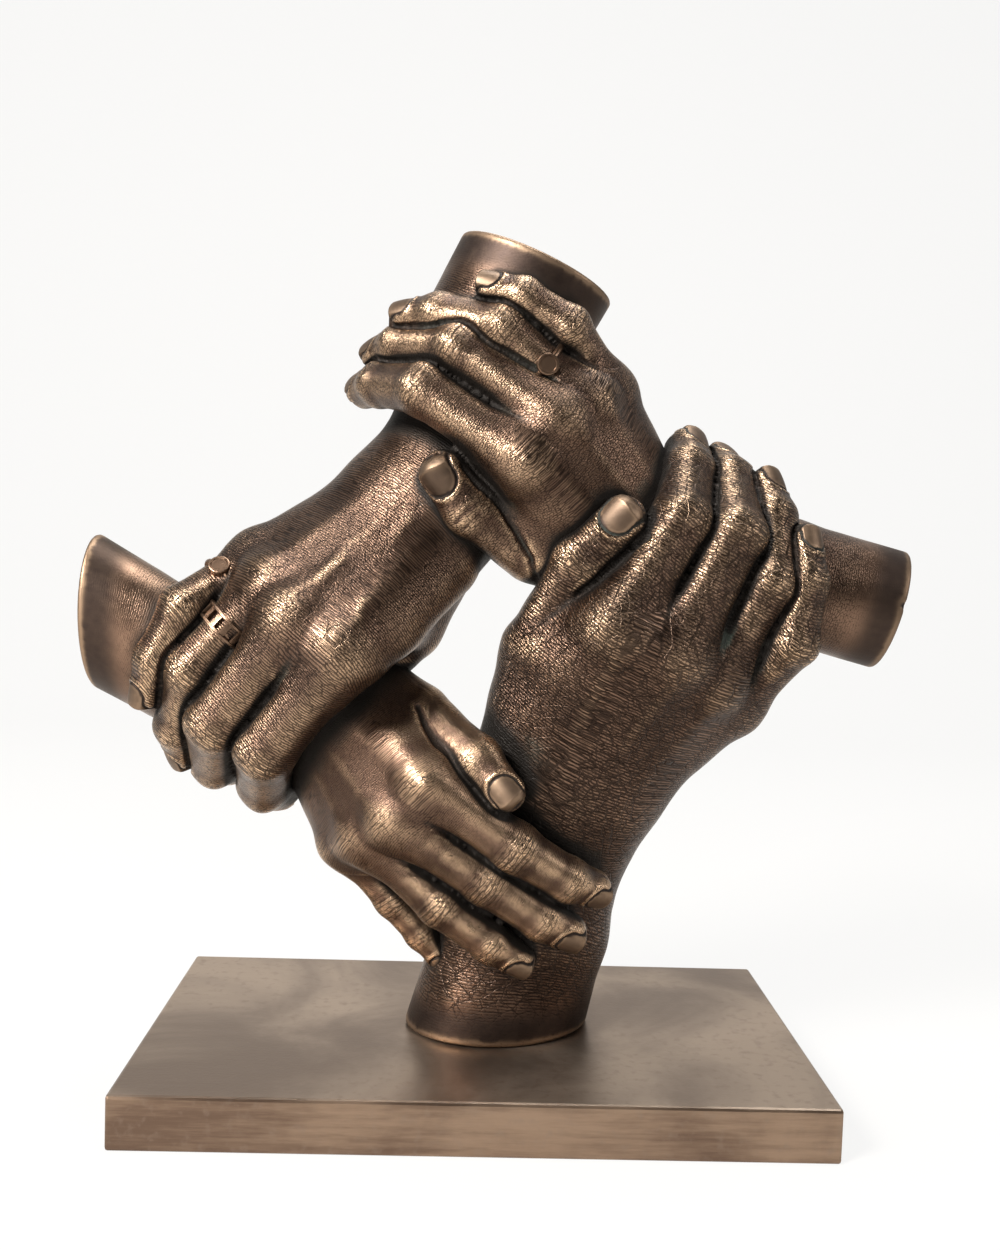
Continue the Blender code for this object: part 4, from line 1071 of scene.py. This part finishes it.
def make_patina_group():
    """Brown bronze patina: dark in the folds and hollows, partly patina and partly painted shade; rubbed
    golden on what stands out, partly wear and partly a painted highlight; a trace of green between.
    """
    group = bpy.data.node_groups.new("bronze_patina", "ShaderNodeTree")
    for name, value in (("Recess", 0.0), ("Ridge", 0.5), ("Height", 0.0), ("Rubbed and highlight", 1.0), ("Green", 1.0),
                        ("Skin", 1.0)):
        group.interface.new_socket(name, in_out="INPUT", socket_type="NodeSocketFloat").default_value = value
    group.interface.new_socket("Color", in_out="OUTPUT", socket_type="NodeSocketColor")
    group.interface.new_socket("Roughness", in_out="OUTPUT", socket_type="NodeSocketFloat")
    group.interface.new_socket("Metallic", in_out="OUTPUT", socket_type="NodeSocketFloat")
    inside = node(group, "NodeGroupInput").outputs
    place = node(group, "ShaderNodeTexCoord").outputs["Object"]
    cloud = node(group, "ShaderNodeTexNoise", {"Vector": place, "Scale": 38.0, "Detail": 4.0}).outputs[0]
    fine = node(group, "ShaderNodeTexNoise", {"Vector": place, "Scale": 300.0, "Detail": 3.0}).outputs[0]
    brown = mix_colour(group, ramp(group, cloud, 0.3, 0.7), (0.098, 0.060, 0.043, 1),
                       (0.200, 0.124, 0.086, 1))
    bare = ramp(group, inside["Skin"], 0.6, 0.15)
    brown = mix_colour(group, bare, brown, (0.043, 0.030, 0.025, 1))
    # The cracks of the skin relief are darkened: the patina they hold and painted shade.
    groove = ramp(group, inside["Height"], -0.02, -0.15)
    # What stands out is rubbed golden: partly wear, partly a painted highlight.
    stands_out = math_node(group, "ADD", ramp(group, inside["Ridge"], 0.50, 0.72),
                           math_node(group, "MULTIPLY_ADD", fine, 0.16, -0.08))
    rubbed_and_highlight = math_node(group, "MULTIPLY", stands_out, inside["Rubbed and highlight"])
    on_skin = ramp(group, inside["Skin"], 0.0, 1.0, 0.25, 1.0)
    rubbed_and_highlight = math_node(group, "MULTIPLY", rubbed_and_highlight, on_skin, clamp=True)
    brown = mix_colour(group, rubbed_and_highlight, brown, (0.640, 0.440, 0.285, 1))
    brown = mix_colour(group, math_node(group, "MULTIPLY", groove, 0.85), brown, (0.022, 0.015, 0.012, 1))
    # Painted shade, with the patina it holds, in the recesses between the hands and the hollows of the skin.
    hollow = ramp(group, inside["Ridge"], 0.46, 0.25)
    dark = math_node(group, "MAXIMUM", ramp(group, inside["Recess"], 0.15, 0.50),
                     math_node(group, "MULTIPLY", hollow, 0.8))
    patch = ramp(group, node(group, "ShaderNodeTexNoise", {"Vector": place, "Scale": 24.0, "Detail": 3.0}
                             ).outputs[0], 0.47, 0.60)
    band = math_node(group, "MULTIPLY", ramp(group, inside["Recess"], 0.14, 0.34),
                     ramp(group, inside["Recess"], 0.80, 0.50))
    band = math_node(group, "MULTIPLY", band, ramp(group, inside["Ridge"], 0.52, 0.44))
    green = math_node(group, "MULTIPLY", patch, band)
    green = math_node(group, "MULTIPLY", green, inside["Green"], clamp=True)
    colour = mix_colour(group, green, brown, (0.058, 0.092, 0.075, 1))
    colour = mix_colour(group, dark, colour, (0.012, 0.009, 0.007, 1))
    rough = math_node(group, "MULTIPLY_ADD", dark, 0.22, math_node(group, "MULTIPLY_ADD", fine, 0.12, 0.26))
    rough = math_node(group, "MULTIPLY_ADD", rubbed_and_highlight, -0.05, rough)
    rough = math_node(group, "MULTIPLY_ADD", bare, 0.17, rough)
    rough = math_node(group, "MULTIPLY_ADD", green, 0.25, rough)
    metal = math_node(group, "MULTIPLY_ADD", math_node(group, "MAXIMUM", green, math_node(
        group, "MULTIPLY", dark, 0.35)), -0.85, 0.95)
    node(group, "NodeGroupOutput", {0: colour, 1: rough, 2: metal})
    return group


skin_group, patina_group = make_skin_group(), make_patina_group()


def bronze_skin(name, leather, lines, cross, cell, rubbed_and_highlight, green):
    """Patinated bronze with the skin of one hand cast into it."""
    material, tree, shader = new_material(name)
    marks = node(tree, "ShaderNodeAttribute", attribute_name="shade_and_skin_marks", attribute_type="GEOMETRY")
    split = node(tree, "ShaderNodeSeparateColor", {0: marks.outputs["Color"]}).outputs
    relief = node(tree, "ShaderNodeGroup", node_tree=skin_group)
    for socket, value in (("Leather", leather), ("Lines", lines), ("Cross", cross), ("Cell", cell)):
        relief.inputs[socket].default_value = value
    for socket, attribute in (("Limb", "limb_place"), ("Palm", "palm_place")):
        place = node(tree, "ShaderNodeAttribute", attribute_name=attribute, attribute_type="GEOMETRY")
        tree.links.new(place.outputs["Vector"], relief.inputs[socket])
    tree.links.new(marks.outputs["Alpha"], relief.inputs["Skin"])
    tree.links.new(split[2], relief.inputs["Folds"])
    patina = node(tree, "ShaderNodeGroup", node_tree=patina_group)
    patina.inputs["Rubbed and highlight"].default_value = rubbed_and_highlight
    patina.inputs["Green"].default_value = green
    tree.links.new(marks.outputs["Alpha"], patina.inputs["Skin"])
    tree.links.new(split[0], patina.inputs["Recess"])
    tree.links.new(split[1], patina.inputs["Ridge"])
    tree.links.new(relief.outputs[0], patina.inputs["Height"])
    for socket, output in (("Base Color", "Color"), ("Roughness", "Roughness"), ("Metallic", "Metallic")):
        tree.links.new(patina.outputs[output], shader.inputs[socket])
    bump = node(tree, "ShaderNodeBump", {"Height": relief.outputs[0], "Distance": 0.001, "Strength": 0.55})
    tree.links.new(bump.outputs[0], shader.inputs["Normal"])
    return material


# How strongly each hand is rubbed golden where it stands out: wear and a painted highlight.
RUBBED_AND_HIGHLIGHT = {"right_arm": 0.90, "top_arm": 1.10, "left_arm": 1.25, "standing_arm": 1.15}
GREEN = {"right_arm": 0.50, "top_arm": 0.45, "left_arm": 0.25, "standing_arm": 0.90}
for name, piece in hand_pieces.items():
    hand = HANDS[name]
    material = bronze_skin("bronze_of_" + name, hand["leather"], hand["lines"], hand["cross"], hand["cell"],
                           RUBBED_AND_HIGHLIGHT[name], GREEN[name])
    piece.data.materials.append(material)
    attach(piece, "root")
    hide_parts("hands_casting")


# Finger rings
# Three rings cast on with the hands: two thin bands that carry a plain round disc, and a broad band with two
# raised rims and small bars between them. Their outside is rubbed bright.
RING_STEPS = 96
RING_SUNK = 0.0022
THIN_PROFILE = ((-0.0012, 0.0001), (-0.0011, 0.0007), (-0.0006, 0.0011), (0.0, 0.0012), (0.0006, 0.0011),
                (0.0011, 0.0007), (0.0012, 0.0001))
BROAD_PROFILE = ((-0.0036, 0.0002), (-0.0035, 0.0013), (-0.0032, 0.0016), (-0.0026, 0.0016),
                 (-0.0023, 0.0013), (-0.0021, -0.0004), (0.0021, -0.0004), (0.0023, 0.0013),
                 (0.0026, 0.0016), (0.0032, 0.0016),
                 (0.0035, 0.0013), (0.0036, 0.0002))
BAR_COUNT, BAR_HALF_ANGLE, BAR_HEIGHT = 14, 5.5, 0.0013
DISC_RADIUS, DISC_SUNK, DISC_RISE, DISC_RIM, DISC_HOLLOW = 0.0041, 0.0010, 0.0024, 0.0005, 0.0003
RINGS = (("right_arm", "ring", 0.52, THIN_PROFILE, -42), ("top_arm", "little", 0.50, THIN_PROFILE, -14),
         ("top_arm", "ring", 0.52, BROAD_PROFILE, None))


def ring_frame(hand_name, finger, share):
    """Where a ring sits: its centre, the frame of its bone and the half width of the flesh there."""
    hand, bones = HANDS[hand_name], skeletons[hand_name]
    joints, frames, _ = bones[finger]
    scale = hand["girth"] * hand["size"] * hand["fullness"][finger]
    root, middle = GIRTH[finger][0] * scale, GIRTH[finger][1] * scale
    return joints[0] * (1 - share) + joints[1] * share, frames[0], root + (middle - root) * share


def flesh_reach(girth, angle):
    """How far the squared section of a finger reaches at an angle."""
    c, s = abs(math.cos(angle)), abs(math.sin(angle))
    return girth * (c ** SQUARENESS + s ** SQUARENESS) ** (-1 / SQUARENESS)


def add_band(bm, centre, turned, girth, profile, first=0.0, last=2 * math.pi, steps=RING_STEPS):
    """Sweep a closed profile round the finger, all the way or for a short bar."""
    whole = last - first > 2 * math.pi - 1e-6
    loops = []
    for step in range(steps if whole else steps + 1):
        angle = first + (last - first) * step / steps
        outward = turned[:, 1] * math.cos(angle) + turned[:, 2] * math.sin(angle)
        reach = flesh_reach(girth, angle)
        closed = profile + ((profile[-1][0], -RING_SUNK), (profile[0][0], -RING_SUNK))
        loops.append([bm.verts.new(centre + turned[:, 0] * along + outward * (reach + out))
                      for along, out in closed])
    pairs = list(zip(loops, loops[1:])) + ([(loops[-1], loops[0])] if whole else [])
    for one, two in pairs:
        for index in range(len(one)):
            bm.faces.new((one[index - 1], one[index], two[index], two[index - 1]))
    if not whole:
        bm.faces.new(loops[0])
        bm.faces.new(loops[-1])


def add_disc(bm, centre, turned, girth, lean):
    """The plain round disc of a ring: a drum with a softened rim round a slightly hollow face."""
    outward = Vector(turned @ turn(0, lean) @ np.array([0, 0, 1.0]))
    depth = DISC_RISE + DISC_SUNK
    matrix = (Matrix.Translation(Vector(centre) + outward * (girth + (DISC_RISE - DISC_SUNK) / 2))
              @ outward.to_track_quat("Z", "Y").to_matrix().to_4x4())
    drum = bmesh.ops.create_cone(bm, cap_ends=True, segments=48, radius1=DISC_RADIUS, radius2=DISC_RADIUS,
                                 depth=depth, matrix=matrix)["verts"]
    top = [vert for vert in drum if (vert.co - Vector(centre)).dot(outward) > girth]
    face = next(face for face in top[0].link_faces if all(vert in top for vert in face.verts))
    bmesh.ops.bevel(bm, geom=list(face.edges), offset=DISC_RIM, segments=3, profile=0.5, affect="EDGES")
    face = max((item for item in bm.faces if len(item.verts) == 48 and item.normal.dot(outward) > 0.9),
               key=lambda item: item.calc_center_median().dot(outward))
    bmesh.ops.inset_individual(bm, faces=[face], thickness=DISC_RIM, depth=0)
    bmesh.ops.inset_individual(bm, faces=[face], thickness=DISC_RIM / 2, depth=-DISC_HOLLOW)


def ring_bronze():
    """The same patinated bronze without skin, rubbed on the outside."""
    material, tree, shader = new_material("bronze_of_rings")
    place = node(tree, "ShaderNodeTexCoord").outputs["Object"]
    patina = node(tree, "ShaderNodeGroup", {"Recess": 0.10, "Ridge": 0.58, "Rubbed and highlight": 0.45, "Green": 0.0,
                                            "Skin": 1.0}, node_tree=patina_group)
    for socket, output in (("Base Color", "Color"), ("Roughness", "Roughness"), ("Metallic", "Metallic")):
        tree.links.new(patina.outputs[output], shader.inputs[socket])
    worn = node(tree, "ShaderNodeTexNoise", {"Vector": place, "Scale": 900.0, "Detail": 3.0}).outputs[0]
    bump = node(tree, "ShaderNodeBump", {"Height": worn, "Distance": 0.0001, "Strength": 0.6})
    tree.links.new(bump.outputs[0], shader.inputs["Normal"])
    return material


ring_finish = ring_bronze()
for hand_name, finger, share, profile, lean in RINGS:
    centre, turned, girth = ring_frame(hand_name, finger, share)
    bm = bmesh.new()
    add_band(bm, centre, turned, girth, profile)
    if profile is BROAD_PROFILE:
        half = math.radians(BAR_HALF_ANGLE)
        for bar in range(BAR_COUNT):
            angle = 2 * math.pi * bar / BAR_COUNT
            add_band(bm, centre, turned, girth, ((-0.0025, BAR_HEIGHT), (0.0025, BAR_HEIGHT)),
                     angle - half, angle + half, 4)
    if lean is not None:
        bm.faces.ensure_lookup_table()
        add_disc(bm, centre, turned, girth, lean)
    bmesh.ops.recalc_face_normals(bm, faces=bm.faces)
    piece = new_piece("ring_of_" + hand_name + "_" + finger, bm, ring_finish)
    for face in piece.data.polygons:
        face.use_smooth = False
    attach(piece, "root")
    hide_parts("hands_casting")
